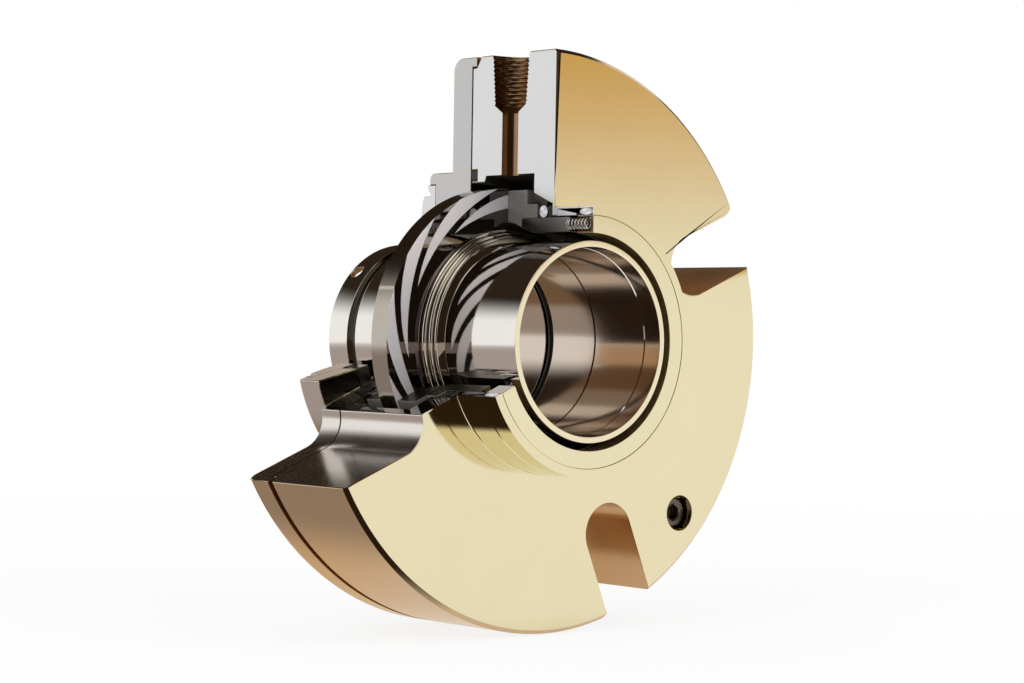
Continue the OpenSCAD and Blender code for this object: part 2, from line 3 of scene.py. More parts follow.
import bpy
import bmesh
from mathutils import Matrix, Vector


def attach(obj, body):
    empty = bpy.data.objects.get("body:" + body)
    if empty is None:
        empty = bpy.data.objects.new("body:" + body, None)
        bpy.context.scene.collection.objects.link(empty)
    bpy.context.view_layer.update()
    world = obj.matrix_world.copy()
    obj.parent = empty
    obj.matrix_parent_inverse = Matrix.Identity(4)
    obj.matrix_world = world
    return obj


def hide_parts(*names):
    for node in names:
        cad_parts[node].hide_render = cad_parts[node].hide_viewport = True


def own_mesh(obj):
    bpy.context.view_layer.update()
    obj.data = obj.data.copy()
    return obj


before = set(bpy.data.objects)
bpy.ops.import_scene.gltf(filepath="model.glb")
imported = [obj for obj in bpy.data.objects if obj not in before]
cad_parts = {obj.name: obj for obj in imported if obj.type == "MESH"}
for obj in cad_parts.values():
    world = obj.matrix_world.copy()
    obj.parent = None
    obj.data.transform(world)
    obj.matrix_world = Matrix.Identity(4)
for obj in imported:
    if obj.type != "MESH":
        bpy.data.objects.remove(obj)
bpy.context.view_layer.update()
MM = 0.001

# Camera
# Level with the shaft and 41 degrees to the left of it, with a long lens, as in the photograph.
CAMERA_AT = (-540.5, -657.5, 3.8)
CAMERA_AZIMUTH, CAMERA_DROP, CAMERA_ROLL = 40.83, 0.29, 0.92

bpy.ops.object.camera_add(
    location=Vector(CAMERA_AT) * MM,
    rotation=[math.radians(a) for a in (90 - CAMERA_DROP, -CAMERA_ROLL, -CAMERA_AZIMUTH)],
)
camera = bpy.context.object
camera.data.lens = 88.9
camera.data.clip_end = 20
bpy.context.scene.camera = camera

# Studio
# White surroundings, a pale floor, soft lamps, and flats that only the polished metal sees:
# polished steel is photographed between dark and warm flats, which give it its bands.
bpy.context.scene.view_settings.view_transform = "Standard"


def new_material(name):
    """An empty node material with its output node."""
    material = bpy.data.materials.new(name)
    material.use_nodes = True
    nodes = material.node_tree.nodes
    nodes.clear()
    return material, nodes, material.node_tree.links, nodes.new("ShaderNodeOutputMaterial")


def combine(nodes, links, operation, *values):
    """The result of a Math node that takes these values."""
    node = nodes.new("ShaderNodeMath")
    node.operation = operation
    for value, socket in zip(values, node.inputs):
        links.new(value, socket)
    return node.outputs[0]


def spread(nodes, links, value, low, high, start=0.0, stop=1.0, curve="LINEAR"):
    """The value, taken from start to stop, spread from low to high."""
    node = nodes.new("ShaderNodeMapRange")
    node.interpolation_type = curve
    for name, number in (("From Min", start), ("From Max", stop), ("To Min", low), ("To Max", high)):
        node.inputs[name].default_value = number
    links.new(value, node.inputs["Value"])
    return node.outputs[0]


def seen_directly(nodes, links):
    """1 for rays that show the background: camera, glossy and transmission rays."""
    path = nodes.new("ShaderNodeLightPath")
    total = path.outputs["Is Camera Ray"]
    for other in ("Is Glossy Ray", "Is Transmission Ray"):
        total = combine(nodes, links, "MAXIMUM", total, path.outputs[other])
    return total


ROOM_LIGHT, WHITE = 0.75, 1.0
world = bpy.data.worlds.new("studio")
bpy.context.scene.world = world
world.use_nodes = True
world_nodes, world_links = world.node_tree.nodes, world.node_tree.links
background = world_nodes["Background"]
background.inputs["Color"].default_value = (1, 1, 1, 1)
directly = seen_directly(world_nodes, world_links)
world_links.new(spread(world_nodes, world_links, directly, ROOM_LIGHT, WHITE), background.inputs["Strength"])

# The floor shows white, and mixes in its own matt grey near the seal, so that the shadow stays.
FLOOR_Z, FLOOR_SIZE, FLOOR_GREY = -94.4, 12, 0.86
SHADOW_NEAR, SHADOW_FAR, SHADOW_GLOW = 0.12, 0.70, 0.85
bpy.ops.mesh.primitive_plane_add(size=FLOOR_SIZE, location=(0, 0, FLOOR_Z * MM))
floor = bpy.context.object
floor.name = "floor"
material, nodes, links, output = new_material("floor_white")
matt = nodes.new("ShaderNodeBsdfDiffuse")
matt.inputs["Color"].default_value = (FLOOR_GREY, FLOOR_GREY, FLOOR_GREY, 1)
glow = nodes.new("ShaderNodeEmission")
mix = nodes.new("ShaderNodeMixShader")
place = nodes.new("ShaderNodeTexCoord")
reach = nodes.new("ShaderNodeVectorMath")
reach.operation = "LENGTH"
links.new(place.outputs["Object"], reach.inputs[0])
fading = spread(nodes, links, reach.outputs["Value"], SHADOW_GLOW, WHITE, SHADOW_NEAR, SHADOW_FAR)
share = combine(nodes, links, "MULTIPLY", seen_directly(nodes, links), fading)
links.new(share, mix.inputs["Fac"])
links.new(matt.outputs[0], mix.inputs[1])
links.new(glow.outputs[0], mix.inputs[2])
links.new(mix.outputs[0], output.inputs["Surface"])
floor.data.materials.append(material)


def flat(name, centre, width, height, turn, tilt, colour, soft):
    """A coloured flat that only metal sees, aimed by turn and tilt. Its edges fade out over soft."""
    bpy.ops.mesh.primitive_plane_add(
        size=1,
        location=centre,
        rotation=(math.radians(90 + tilt), 0, math.radians(turn)),
    )
    card = bpy.context.object
    card.name = name
    card.scale = (width, height, 1)
    material, nodes, links, output = new_material(name + "_cloth")
    place = nodes.new("ShaderNodeTexCoord")
    split = nodes.new("ShaderNodeSeparateXYZ")
    links.new(place.outputs["Object"], split.inputs[0])
    edges = []
    for axis, share in (("X", soft[0] / width), ("Y", soft[1] / height)):
        off_middle = combine(nodes, links, "ABSOLUTE", split.outputs[axis])
        edges.append(spread(nodes, links, off_middle, 0, 1, 0.5, 0.5 - share, "SMOOTHSTEP"))
    cloth = nodes.new("ShaderNodeEmission")
    cloth.inputs["Color"].default_value = (*colour, 1)
    clear = nodes.new("ShaderNodeBsdfTransparent")
    mix = nodes.new("ShaderNodeMixShader")
    links.new(combine(nodes, links, "MULTIPLY", *edges), mix.inputs["Fac"])
    links.new(clear.outputs[0], mix.inputs[1])
    links.new(cloth.outputs[0], mix.inputs[2])
    links.new(mix.outputs[0], output.inputs["Surface"])
    card.data.materials.append(material)
    card.visible_camera = False
    card.visible_diffuse = False
    card.visible_shadow = False
    card.visible_transmission = False


DARK = (0.030, 0.019, 0.012)
# name, centre in metres, width, height, turn, tilt, colour, width of the soft edges
flat("flat_camera_side", (-1.30, -1.50, 0.90), 3.4, 2.6, -41, 0, DARK, (0.4, 0.3))
flat("flat_front_right_high", (1.50, -1.75, 0.485), 3.4, 0.93, 40.6, 0, (0.70, 0.44, 0.15), (0.5, 0.36))
flat("flat_front_high", (0.60, -2.40, 1.95), 3.4, 2.0, 0, 0, DARK, (0.2, 0.15))
flat("flat_behind_high", (1.95, 2.40, 2.30), 3.6, 3.6, 0, 0, DARK, (0.25, 0.3))
flat("flat_behind_left_high", (0, 2.45, 2.70), 7.0, 3.9, 0, 0, DARK, (1.7, 0.95))
flat("flat_behind_right", (3.00, 2.40, 0.60), 2.9, 2.4, -30, 0, DARK, (0.3, 0.24))
flat("flat_above", (1.30, -0.30, 2.20), 3.4, 3.4, 0, -90, DARK, (0.34, 0.34))
# Cloths that lie on the floor: name, x, y, how far it lies above the floor, in mm, and the rest as above.
for name, x, y, above, width, height, colour, soft in (
    ("cloth_behind", 0.10, 0.55, 0.5, 1.1, 1.3, (0.80, 0.61, 0.42), (0.1, 0.13)),
    ("cloth_behind_left", -1.125, -0.50, 1.0, 2.15, 3.8, (0.42, 0.36, 0.33), (0.035, 1.05)),
    ("cloth_behind_strip", -0.01, 0.13, 2.0, 0.16, 0.14, (0.22, 0.14, 0.08), (0.03, 0.02)),
    ("cloth_front_left", -0.285, -0.23, 1.5, 0.50, 0.36, DARK, (0.01, 0.01)),
):
    flat(name, (x, y, (FLOOR_Z + above) * MM), width, height, 0, -90, colour, soft)


def lamp(name, centre, size, watts):
    """A soft square lamp that faces the seal."""
    bpy.ops.object.light_add(type="AREA", location=centre)
    light = bpy.context.object
    light.name = name
    light.data.size = size
    light.data.energy = watts
    light.rotation_mode = "QUATERNION"
    light.rotation_quaternion = (-Vector(centre)).to_track_quat("-Z", "Y")
    light.visible_camera = False
    light.visible_glossy = False


lamp("lamp_left", (-1.6, -0.4, 1.2), 1.2, 16)
lamp("lamp_front", (0.9, -1.8, 1.0), 1.4, 16)

# Gland plate
# The outboard plate of the cartridge, with its long boss: forged stainless steel, turned and
# polished all over, then slotted for the studs, tapped for the gas supply and counterbored.
# Sections are drawn as (radius, distance outboard of the machine face) and spun about the shaft.
GLAND_R, GLAND_T, ADAPTER_T = 94, 52, 10
RIM_CHAMFER, RIM_R = 1.3, 88
BOSS_R, BOSS_TOP, GUIDE_R = 43, 70.5, 40.2
CHAMBER_R, CHAMBER_LIP_R, CHAMBER_BACK, CHAMBER_END = 54.3, 52, 17.3, 41.5
VOID_R, VOID_BACK, VOID_END = 42.5, 53.2, 70.1
CONE_R, CONE_MOUTH_R = 44.3, 47.8
SLOT_R, SLOT_W, SLOT_ANGLES = 68, 20, (22.5, 112.5, 202.5, 292.5)
# The radii of the two corners where each slot leaves the rim, and the angles of the upper cut, the
# lower cut and the cut of the block at the inboard end.
SLOT_LIPS = ((0.5, 4.5), (0.5, 0.5), (0.5, 0.5), (2, 0.5))
CUT_SWEEP, CUT_ANGLES = 246.5, (90, 203.5, 194.5)
PORT_A, PORT_R, PORT_DEPTH, PORT_PITCH, DRILL_R = 29.5, 9.3, 17, 1.41, 4.0
SCREW_ANGLE, SCREW_R, SCREW_HEAD_R, SCREW_SEAT = -44.4, 81.8, 4.98, 43
COUNTERBORE_R, SCREW_HOLE_R = SCREW_HEAD_R + 0.85, 3.3
PIN_ANGLES, PIN_CIRCLE_R, PIN_R = (20, 260), 49.9, 1.8
PILOT_LEN, RETAINER_R = 12, 52
FILED_DEPTH, FILED_WIDTH = 0.35, 1.7


def arc(centre, radius, start, end, count=6):
    """Points of a rounded corner of a section."""
    turns = [math.radians(start + (end - start) * i / count) for i in range(count + 1)]
    return [(centre[0] + radius * math.cos(t), centre[1] + radius * math.sin(t)) for t in turns]


def polar(radius, angle):
    """A place across the shaft, x and z, from its radius and angle."""
    return radius * math.cos(math.radians(angle)), radius * math.sin(math.radians(angle))


def radius_of(point):
    """How far a point in the object's frame is from the shaft's axis."""
    return math.hypot(point.x, point.z)


def select_only(active, *others):
    """Deselects all the rest, and makes the first of these pieces the active one."""
    bpy.ops.object.select_all(action="DESELECT")
    for piece in (active, *others):
        piece.select_set(True)
    bpy.context.view_layer.objects.active = active


def shade_smooth(degrees=40):
    """Shades the selected piece smooth, but not across edges that are sharper than this."""
    bpy.ops.object.shade_smooth_by_angle(angle=math.radians(degrees))


def outline(name, points):
    """A closed line through the points, in mm, drawn by extruding one vertex on from the last."""
    bpy.ops.object.select_all(action="DESELECT")
    bpy.ops.mesh.primitive_plane_add(size=MM, location=Vector(points[0]) * MM)
    piece = bpy.context.object
    piece.name = piece.data.name = name
    bpy.ops.object.mode_set(mode="EDIT")
    bpy.ops.mesh.merge(type="CENTER")
    for here, there in zip(points, points[1:]):
        step = (Vector(there) - Vector(here)) * MM
        bpy.ops.mesh.extrude_vertices_move(TRANSFORM_OT_translate={"value": step})
    draft = bmesh.from_edit_mesh(piece.data)
    draft.verts.ensure_lookup_table()
    for vertex in draft.verts:
        vertex.select_set(vertex.index in (0, len(draft.verts) - 1))
    draft.select_flush_mode()
    bmesh.update_edit_mesh(piece.data)
    bpy.ops.mesh.edge_face_add()
    bpy.ops.mesh.select_all(action="SELECT")
    return piece


def close_up(piece, gap=0.002):
    """Ends an edit: doubles merged, normals outward, the object back at the origin."""
    bpy.ops.mesh.select_all(action="SELECT")
    bpy.ops.mesh.remove_doubles(threshold=gap * MM)
    bpy.ops.mesh.normals_make_consistent(inside=False)
    bpy.ops.object.mode_set(mode="OBJECT")
    bpy.ops.object.transform_apply(location=True, rotation=True, scale=True)
    return piece


def turned(name, section, sweep=360, steps=180):
    """The section spun about the shaft, through the kept sector or the full circle."""
    piece = outline(name, [(0, -a, r) for r, a in section])
    if sweep < 360:
        bpy.ops.mesh.edge_face_add()
    bpy.ops.mesh.spin(
        steps=steps, angle=math.radians(sweep), center=(0, 0, 0), axis=(0, -1, 0), dupli=False
    )
    return close_up(piece)


def slab(name, points, back, front):
    """A flat shape, drawn as x and z, extruded along the shaft from one height to another."""
    piece = outline(name, [(x, -back, z) for x, z in points])
    bpy.ops.mesh.edge_face_add()
    bpy.ops.mesh.extrude_region_move(TRANSFORM_OT_translate={"value": (0, (back - front) * MM, 0)})
    return close_up(piece)


def drill(radius, x, z, back, front, sides=48):
    """A drill as a cutter, along the shaft from one height to another."""
    bpy.ops.object.select_all(action="DESELECT")
    bpy.ops.mesh.primitive_cylinder_add(
        vertices=sides, radius=radius * MM, depth=(front - back) * MM,
        location=(x * MM, -(front + back) / 2 * MM, z * MM), rotation=(math.pi / 2, 0, 0),
    )
    bpy.ops.object.transform_apply(location=True, rotation=True, scale=True)
    return bpy.context.object


def use(piece, kind, **settings):
    """Adds a modifier with these settings and applies it."""
    select_only(piece)
    modifier = piece.modifiers.new(kind.lower(), kind)
    for key, value in settings.items():
        setattr(modifier, key, value)
    bpy.ops.object.modifier_apply(modifier=modifier.name)


def cut_by(piece, tools):
    """Cuts each tool out of the piece, and removes it."""
    for tool in tools:
        use(piece, "BOOLEAN", operation="DIFFERENCE", solver="EXACT", object=tool)
        bpy.data.objects.remove(tool)


def break_edges(piece, width=0.2, skip=None, smooth=40):
    """Breaks the sharp edges, but not those whose middle, in mm, passes skip, and shades the rest smooth."""
    select_only(piece)
    bpy.ops.object.mode_set(mode="EDIT")
    bpy.ops.mesh.select_mode(type="EDGE")
    bpy.ops.mesh.select_all(action="SELECT")
    bpy.ops.mesh.remove_doubles(threshold=0.004 * MM)
    bpy.ops.mesh.dissolve_limited(angle_limit=math.radians(0.02))
    bpy.ops.mesh.select_all(action="DESELECT")
    bpy.ops.mesh.edges_select_sharp(sharpness=math.radians(28))
    draft = bmesh.from_edit_mesh(piece.data)
    for edge in draft.edges:
        if edge.select and skip and skip((edge.verts[0].co + edge.verts[1].co) / 2 / MM):
            edge.select_set(False)
    bmesh.update_edit_mesh(piece.data)
    bpy.ops.mesh.bevel(offset=width * MM, segments=2, affect="EDGES", clamp_overlap=False)
    bpy.ops.mesh.select_mode(type="VERT")
    bpy.ops.object.mode_set(mode="OBJECT")
    shade_smooth(smooth)
    use(piece, "WEIGHTED_NORMAL", mode="FACE_AREA", weight=60, keep_sharp=True)


def slot_tool(angle, lips):
    """The cutter of one stud slot, with the eased corners where it leaves the rim."""
    half = SLOT_W / 2

    def lip(radius):
        y = half + radius
        x = math.sqrt((GLAND_R - radius) ** 2 - y * y)
        out = math.degrees(math.atan2(y, x))
        return [*arc((x, y), radius, -90, out, 8), polar(120, out)]

    shape = arc((SLOT_R, 0), half, 90, 270, 32) + [(x, -y) for x, y in lip(lips[0])]
    shape += list(reversed(lip(lips[1])))
    c, s = polar(1, angle)
    return slab("slot_tool", [(x * c - y * s, x * s + y * c) for x, y in shape], -10, 70)


def port_tool():
    """The taper tap and the drill as one cutter: a grid rolled into a tube with a helical ridge.

    The first rows are the thread, from 1 mm outside the rim, and the last ones the drill and its tip.
    """
    thread_rows, tip_rows, taper, thread_depth = 0.95, 0.98, 1 / 13, 0.55
    bpy.ops.object.select_all(action="DESELECT")
    bpy.ops.mesh.primitive_grid_add(x_subdivisions=64, y_subdivisions=170, size=1)
    tool = bpy.context.object
    for vertex in tool.data.vertices:
        turn = 2 * math.pi * (vertex.co.x + 0.5)
        row = vertex.co.y + 0.5
        if row < thread_rows:
            depth = -1 + row / thread_rows * (PORT_DEPTH + 1)
            crest = abs((depth / PORT_PITCH - turn / (2 * math.pi)) % 1 * 2 - 1)
            radius = max(PORT_R - depth * taper - thread_depth * crest, PORT_R + 0.3 - 0.8 * depth)
        elif row < tip_rows:
            depth, radius = PORT_DEPTH + 2.4, DRILL_R
        else:
            depth, radius = GLAND_R - CHAMBER_R + 1, DRILL_R
        across, along = radius * math.cos(turn), radius * math.sin(turn)
        vertex.co = Vector((across, along - PORT_A, GLAND_R - depth)) * MM
    bpy.ops.object.mode_set(mode="EDIT")
    bpy.ops.mesh.select_all(action="SELECT")
    bpy.ops.mesh.remove_doubles(threshold=0.001 * MM)
    bpy.ops.mesh.select_all(action="DESELECT")
    bpy.ops.mesh.select_non_manifold()
    bpy.ops.mesh.edge_face_add()
    return close_up(tool, 0.001)


def glossy_material(name):
    """A new material with its one shader, and the object's own coordinates for its patterns."""
    material, nodes, links, output = new_material(name)
    shader = nodes.new("ShaderNodeBsdfPrincipled")
    links.new(shader.outputs[0], output.inputs["Surface"])
    return material, nodes, links, shader, nodes.new("ShaderNodeTexCoord").outputs["Object"]


def roughen(nodes, links, shader, height, strength):
    """A bump of up to 0.02 mm on the shader's normal."""
    bump = nodes.new("ShaderNodeBump")
    bump.inputs["Strength"].default_value = strength
    bump.inputs["Distance"].default_value = 0.02 * MM
    links.new(height, bump.inputs["Height"])
    links.new(bump.outputs[0], shader.inputs["Normal"])


# How many marks of the finish go into a metre, and how far a brushed one is drawn out.
CLOUDS, TOOL_RINGS, BRUSH_MARKS, BRUSH_STRETCH = 60, 2400, 1800, 0.04


def metal(name, colour, roughness, rings=0.0, clouds=0.03, brushed=0.0, metallic=1.0):
    """Bare metal: rings from the turning tool, or a brushed grain, and a slightly uneven polish."""
    material, nodes, links, shader, place = glossy_material(name)
    shader.inputs["Metallic"].default_value = metallic
    cloud = nodes.new("ShaderNodeTexNoise")
    cloud.inputs["Scale"].default_value = CLOUDS
    cloud.inputs["Detail"].default_value = 4
    links.new(place, cloud.inputs["Vector"])
    tint = nodes.new("ShaderNodeMix")
    tint.data_type = "RGBA"
    tint.inputs["A"].default_value = (*[c * (1 - clouds) for c in colour], 1)
    tint.inputs["B"].default_value = (*[min(1, c * (1 + clouds)) for c in colour], 1)
    links.new(cloud.outputs["Fac"], tint.inputs["Factor"])
    links.new(tint.outputs["Result"], shader.inputs["Base Color"])
    wear = spread(nodes, links, cloud.outputs["Fac"], roughness * 0.75, roughness * 1.25)
    links.new(wear, shader.inputs["Roughness"])
    if rings or brushed:
        grain = nodes.new("ShaderNodeTexNoise")
        grain.inputs["Detail"].default_value = 3
        roughen(nodes, links, shader, grain.outputs["Fac"], rings or brushed)
    if rings:
        split = nodes.new("ShaderNodeSeparateXYZ")
        flat_xz = nodes.new("ShaderNodeCombineXYZ")
        radius = nodes.new("ShaderNodeVectorMath")
        radius.operation = "LENGTH"
        turn = nodes.new("ShaderNodeCombineXYZ")
        links.new(place, split.inputs[0])
        links.new(split.outputs["X"], flat_xz.inputs["X"])
        links.new(split.outputs["Z"], flat_xz.inputs["Z"])
        links.new(flat_xz.outputs[0], radius.inputs[0])
        links.new(radius.outputs["Value"], turn.inputs["X"])
        links.new(split.outputs["Y"], turn.inputs["Y"])
        links.new(turn.outputs[0], grain.inputs["Vector"])
        grain.inputs["Scale"].default_value = TOOL_RINGS
    elif brushed:
        stretch = nodes.new("ShaderNodeMapping")
        stretch.inputs["Scale"].default_value = (1, BRUSH_STRETCH, 1)
        links.new(place, stretch.inputs["Vector"])
        links.new(stretch.outputs[0], grain.inputs["Vector"])
        grain.inputs["Scale"].default_value = BRUSH_MARKS
    return material


def rubber(name, colour=(0.012, 0.012, 0.013), roughness=0.32):
    """Moulded rubber or polymer, black where no colour is given, with the faint mottling of its filler."""
    material, nodes, links, shader, place = glossy_material(name)
    shader.inputs["Specular IOR Level"].default_value = 0.3
    speck = nodes.new("ShaderNodeTexNoise")
    speck.inputs["Scale"].default_value = 900
    speck.inputs["Detail"].default_value = 5
    links.new(place, speck.inputs["Vector"])
    shade = nodes.new("ShaderNodeValToRGB")
    shade.color_ramp.elements[0].position = 0.35
    shade.color_ramp.elements[0].color = (*[c * 0.7 for c in colour], 1)
    shade.color_ramp.elements[1].position = 0.75
    shade.color_ramp.elements[1].color = (*[c * 1.8 for c in colour], 1)
    links.new(speck.outputs["Fac"], shade.inputs[0])
    links.new(shade.outputs[0], shader.inputs["Base Color"])
    gloss = spread(nodes, links, speck.outputs["Fac"], roughness * 0.8, roughness * 1.3)
    links.new(gloss, shader.inputs["Roughness"])
    roughen(nodes, links, shader, speck.outputs["Fac"], 0.2)
    return material


def paint(piece, material, test):
    """Gives the faces whose centre, in mm, and normal pass the test this material."""
    piece.data.materials.append(material)
    slot = len(piece.data.materials) - 1
    for face in piece.data.polygons:
        if test(face.center / MM, face.normal):
            face.material_index = slot


def on_cut(centre, normal, which=0):
    """True on a flat face of the cutaway: 0 is the upper one, 1 the lower one, 2 the inboard block's."""
    x, z = polar(1 if which else -1, CUT_ANGLES[which])
    cut = Vector((z, 0, -x)) if which else Vector((z, 0, x))
    return normal.dot(cut) > 0.999 and abs(centre.dot(cut)) < 0.05


def on_lower_cut(centre, normal):
    """True on the lower of the flat faces that the cutaway leaves."""
    return on_cut(centre, normal, 1)


def at_joint(centre, normal):
    """True in the V groove of the rim and on the edges along the joint of the two plates, where shade is
    painted.
    """
    radius, height = radius_of(centre), -centre.y
    if height < 0:
        return RETAINER_R - 0.3 < radius < RETAINER_R + 0.5 and -PILOT_LEN < height
    in_groove = 9 < height < 15.1 and 90.2 < radius < GLAND_R - 0.1
    return in_groove or abs(height - ADAPTER_T) < 0.5 and radius > 56


def in_slot(centre, normal, angles=SLOT_ANGLES):
    """True on the walls of the stud slots."""
    for angle in angles:
        c, s = polar(1, angle)
        along, across = centre.x * c + centre.z * s, centre.z * c - centre.x * s
        if along > SLOT_R - SLOT_W and abs(across) < SLOT_W / 2 + 0.3 and abs(normal.y) < 0.5:
            if radius_of(centre) < GLAND_R - 0.5:
                return True
    return False


def hand_in(piece, body, node):
    """Says what the piece moves with, and hides the CAD solid that it stands for."""
    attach(piece, body)
    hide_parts(node)


gold_steel = metal("gland_polished_steel", (0.80, 0.715, 0.465), 0.07, rings=0.12)
rim_steel = metal("rim_turned_steel", (0.61, 0.46, 0.28), 0.13, rings=0.3)
cut_steel = metal("ground_cut_steel", (0.72, 0.73, 0.73), 0.30, brushed=0.15)
cut_mirror = metal("polished_cut_steel", (0.43, 0.40, 0.37), 0.05, brushed=0.10)
slot_steel = metal("milled_slot_steel", (0.76, 0.72, 0.68), 0.2, brushed=0.25)
# Painted warm shade: a darker, warmer copy of the slot steel for one slot's walls.
slot_painted_warm_shade = metal("milled_slot_painted_warm_shade", (0.56, 0.39, 0.23), 0.2, brushed=0.3)
# Painted shade with a copper tint for its reflections: the tapped hole is a dark copper brown.
thread_painted_shade = metal("tapped_thread_painted_shade", (0.31, 0.19, 0.10), 0.2, clouds=0.2)
# Painted shade: near-black steel for the gaps where parts meet, the rim's V groove, the inside of the
# adapter, the line groove in the bore, the floor of the filed strip and the lower cut faces of the face
# rings and holders.
painted_shade_dark = metal("painted_shade_dark_steel", (0.07, 0.05, 0.03), 0.35, clouds=0.2)
# Painted shade: dark brown for the faces of the rim's V groove.
groove_painted_shade = metal("rim_groove_painted_shade_steel", (0.36, 0.20, 0.08), 0.35, clouds=0.2)
# Painted warm reflection: a copper steel for the walls of one slot and of the sleeve's drive holes.
slot_painted_warm_reflection = metal("milled_slot_painted_warm_reflection_steel", (0.74, 0.50, 0.29), 0.6, brushed=0.3)
# Painted shade: a dark, rough steel for the inside of the chamber.
chamber_painted_shade = metal("chamber_painted_shade_steel", (0.20, 0.20, 0.14), 0.6, clouds=0.15)
# Painted shade: dark brown for the hollow in the boss's wall, the spring pockets and the end ring's upper
# cut face.
pocket_painted_shade = metal("spring_pocket_painted_shade_steel", (0.20, 0.12, 0.07), 0.3, clouds=0.2)
# White polymer for the ring in the boss; on the cut faces of the rubber rings it is a painted highlight.
polymer_white_and_highlight = rubber("seal_polymer_white_and_painted_highlight", (0.50, 0.50, 0.52), 0.3)


def paint_outside(piece):
    """The finishes that both plates share: polished all over, with a turned rim and milled slots; the walls
    of one slot carry a painted warm reflection and those of another a painted warm shade.
    """
    piece.data.materials.append(gold_steel)
    paint(piece, rim_steel, lambda c, n: radius_of(c) > RIM_R and abs(n.y) < 0.9)
    paint(piece, slot_steel, in_slot)
    # Painted warm reflection on the walls of the first slot.
    paint(piece, slot_painted_warm_reflection, lambda c, n: in_slot(c, n, SLOT_ANGLES[:1]))
    # Painted warm shade on the walls of the last slot.
    paint(piece, slot_painted_warm_shade, lambda c, n: in_slot(c, n, SLOT_ANGLES[3:]))


SCREW_X, SCREW_Z = polar(SCREW_R, SCREW_ANGLE)
gland = turned("gland_plate_body", [
    (CHAMBER_LIP_R, ADAPTER_T), (52.9, ADAPTER_T), (52.9, 13), (56.5, 13), (56.5, ADAPTER_T),
    (90.5, ADAPTER_T), (90.5, 12), (GLAND_R, 14.3),
    (GLAND_R, GLAND_T - RIM_CHAMFER), (GLAND_R - RIM_CHAMFER, GLAND_T),
    (BOSS_R, GLAND_T), (BOSS_R, 63.0), (42.75, 63.2), (42.75, 63.5), (BOSS_R, 63.7), (BOSS_R, BOSS_TOP),
    (GUIDE_R, BOSS_TOP), (GUIDE_R, VOID_END), (VOID_R, VOID_END), (VOID_R, VOID_BACK), (GUIDE_R, VOID_BACK),
    (GUIDE_R, 50.6), (CONE_R, 50.6), (CONE_R, 50.1), (CONE_MOUTH_R, CHAMBER_END),
    (CHAMBER_R, CHAMBER_END), (CHAMBER_R, CHAMBER_BACK), (CHAMBER_LIP_R, CHAMBER_BACK),
], CUT_SWEEP)
cut_by(gland, [slot_tool(a, l) for a, l in zip(SLOT_ANGLES, SLOT_LIPS)])
filed_strip = [(-1, 48), (0.02, 48), (FILED_WIDTH, 94.5), (-1, 94.5)]
cut_by(gland, [
    slab("filed_strip_tool", filed_strip, GLAND_T - FILED_DEPTH, GLAND_T + 2), port_tool(),
    drill(COUNTERBORE_R, SCREW_X, SCREW_Z, SCREW_SEAT, 60), drill(SCREW_HOLE_R, SCREW_X, SCREW_Z, 0, 50),
    *[drill(PIN_R, *polar(PIN_CIRCLE_R, a), 40, 47.5) for a in PIN_ANGLES],
])
break_edges(gland, 0.4, lambda p: (
    (abs(p.x) < 10 and p.z > 50 and 18 < -p.y < 40)
    or (-p.y > 52.6 and radius_of(p) < BOSS_R + 0.5)
    or (-p.y > 50 and (radius_of(p) > 92.2 or abs(p.x) < 1.9 and p.z > 47))
))
paint_outside(gland)
# Painted shade and copper reflections in the tapped hole.
paint(gland, thread_painted_shade, lambda c, n: (
    abs(c.x) < 9.5 and c.z > 54 and abs(c.y + PORT_A) < 9.5 and abs(n.x) < 0.999
))
# Painted shade in the V groove and along the joint of the plates.
paint(gland, painted_shade_dark, at_joint)
# Painted shade: the V groove is painted dark brown.
paint(gland, groove_painted_shade, lambda c, n: 10.5 < -c.y < 14.4 and 90 < radius_of(c) < GLAND_R - 0.1)
# Painted shade on the inside of the chamber.
paint(gland, chamber_painted_shade, lambda c, n: radius_of(c) < CHAMBER_R + 0.2 and -c.y < CHAMBER_END + 0.3)
# Painted shade in the hollow of the boss's wall.
paint(gland, pocket_painted_shade, lambda c, n: (
    VOID_BACK - 0.1 < -c.y < VOID_END + 0.1 and (40 < radius_of(c) < VOID_R + 0.05 or abs(n.y) > 0.9)
))
# Painted shade: the floor of the filed strip is painted near-black.
paint(gland, painted_shade_dark, lambda c, n: (
    n.y < -0.99 and abs(-c.y - (GLAND_T - FILED_DEPTH)) < 0.02 and c.x < FILED_WIDTH + 0.3
))
paint(gland, cut_steel, on_cut)
paint(gland, cut_mirror, on_lower_cut)
# A taper liner and a white polymer ring lie in the hollow of the boss's wall.
POLYMER_A, POLYMER_R = 67, 41.35
liner = turned("boss_liner", [(40.25, 53.3), (42.35, 53.3), (40.8, 62.3), (40.25, 62.3)], CUT_SWEEP)
liner.data.materials.append(cut_steel)
polymer = turned("boss_polymer_ring", [
    (POLYMER_R + 1.1 * math.cos(math.pi * i / 10), POLYMER_A + 3 * math.sin(math.pi * i / 10))
    for i in range(20)
], CUT_SWEEP)
polymer.data.materials.append(polymer_white_and_highlight)
shade_smooth()
select_only(gland, liner, polymer)
bpy.ops.object.join()
hand_in(gland, "gland", "gland_plate")

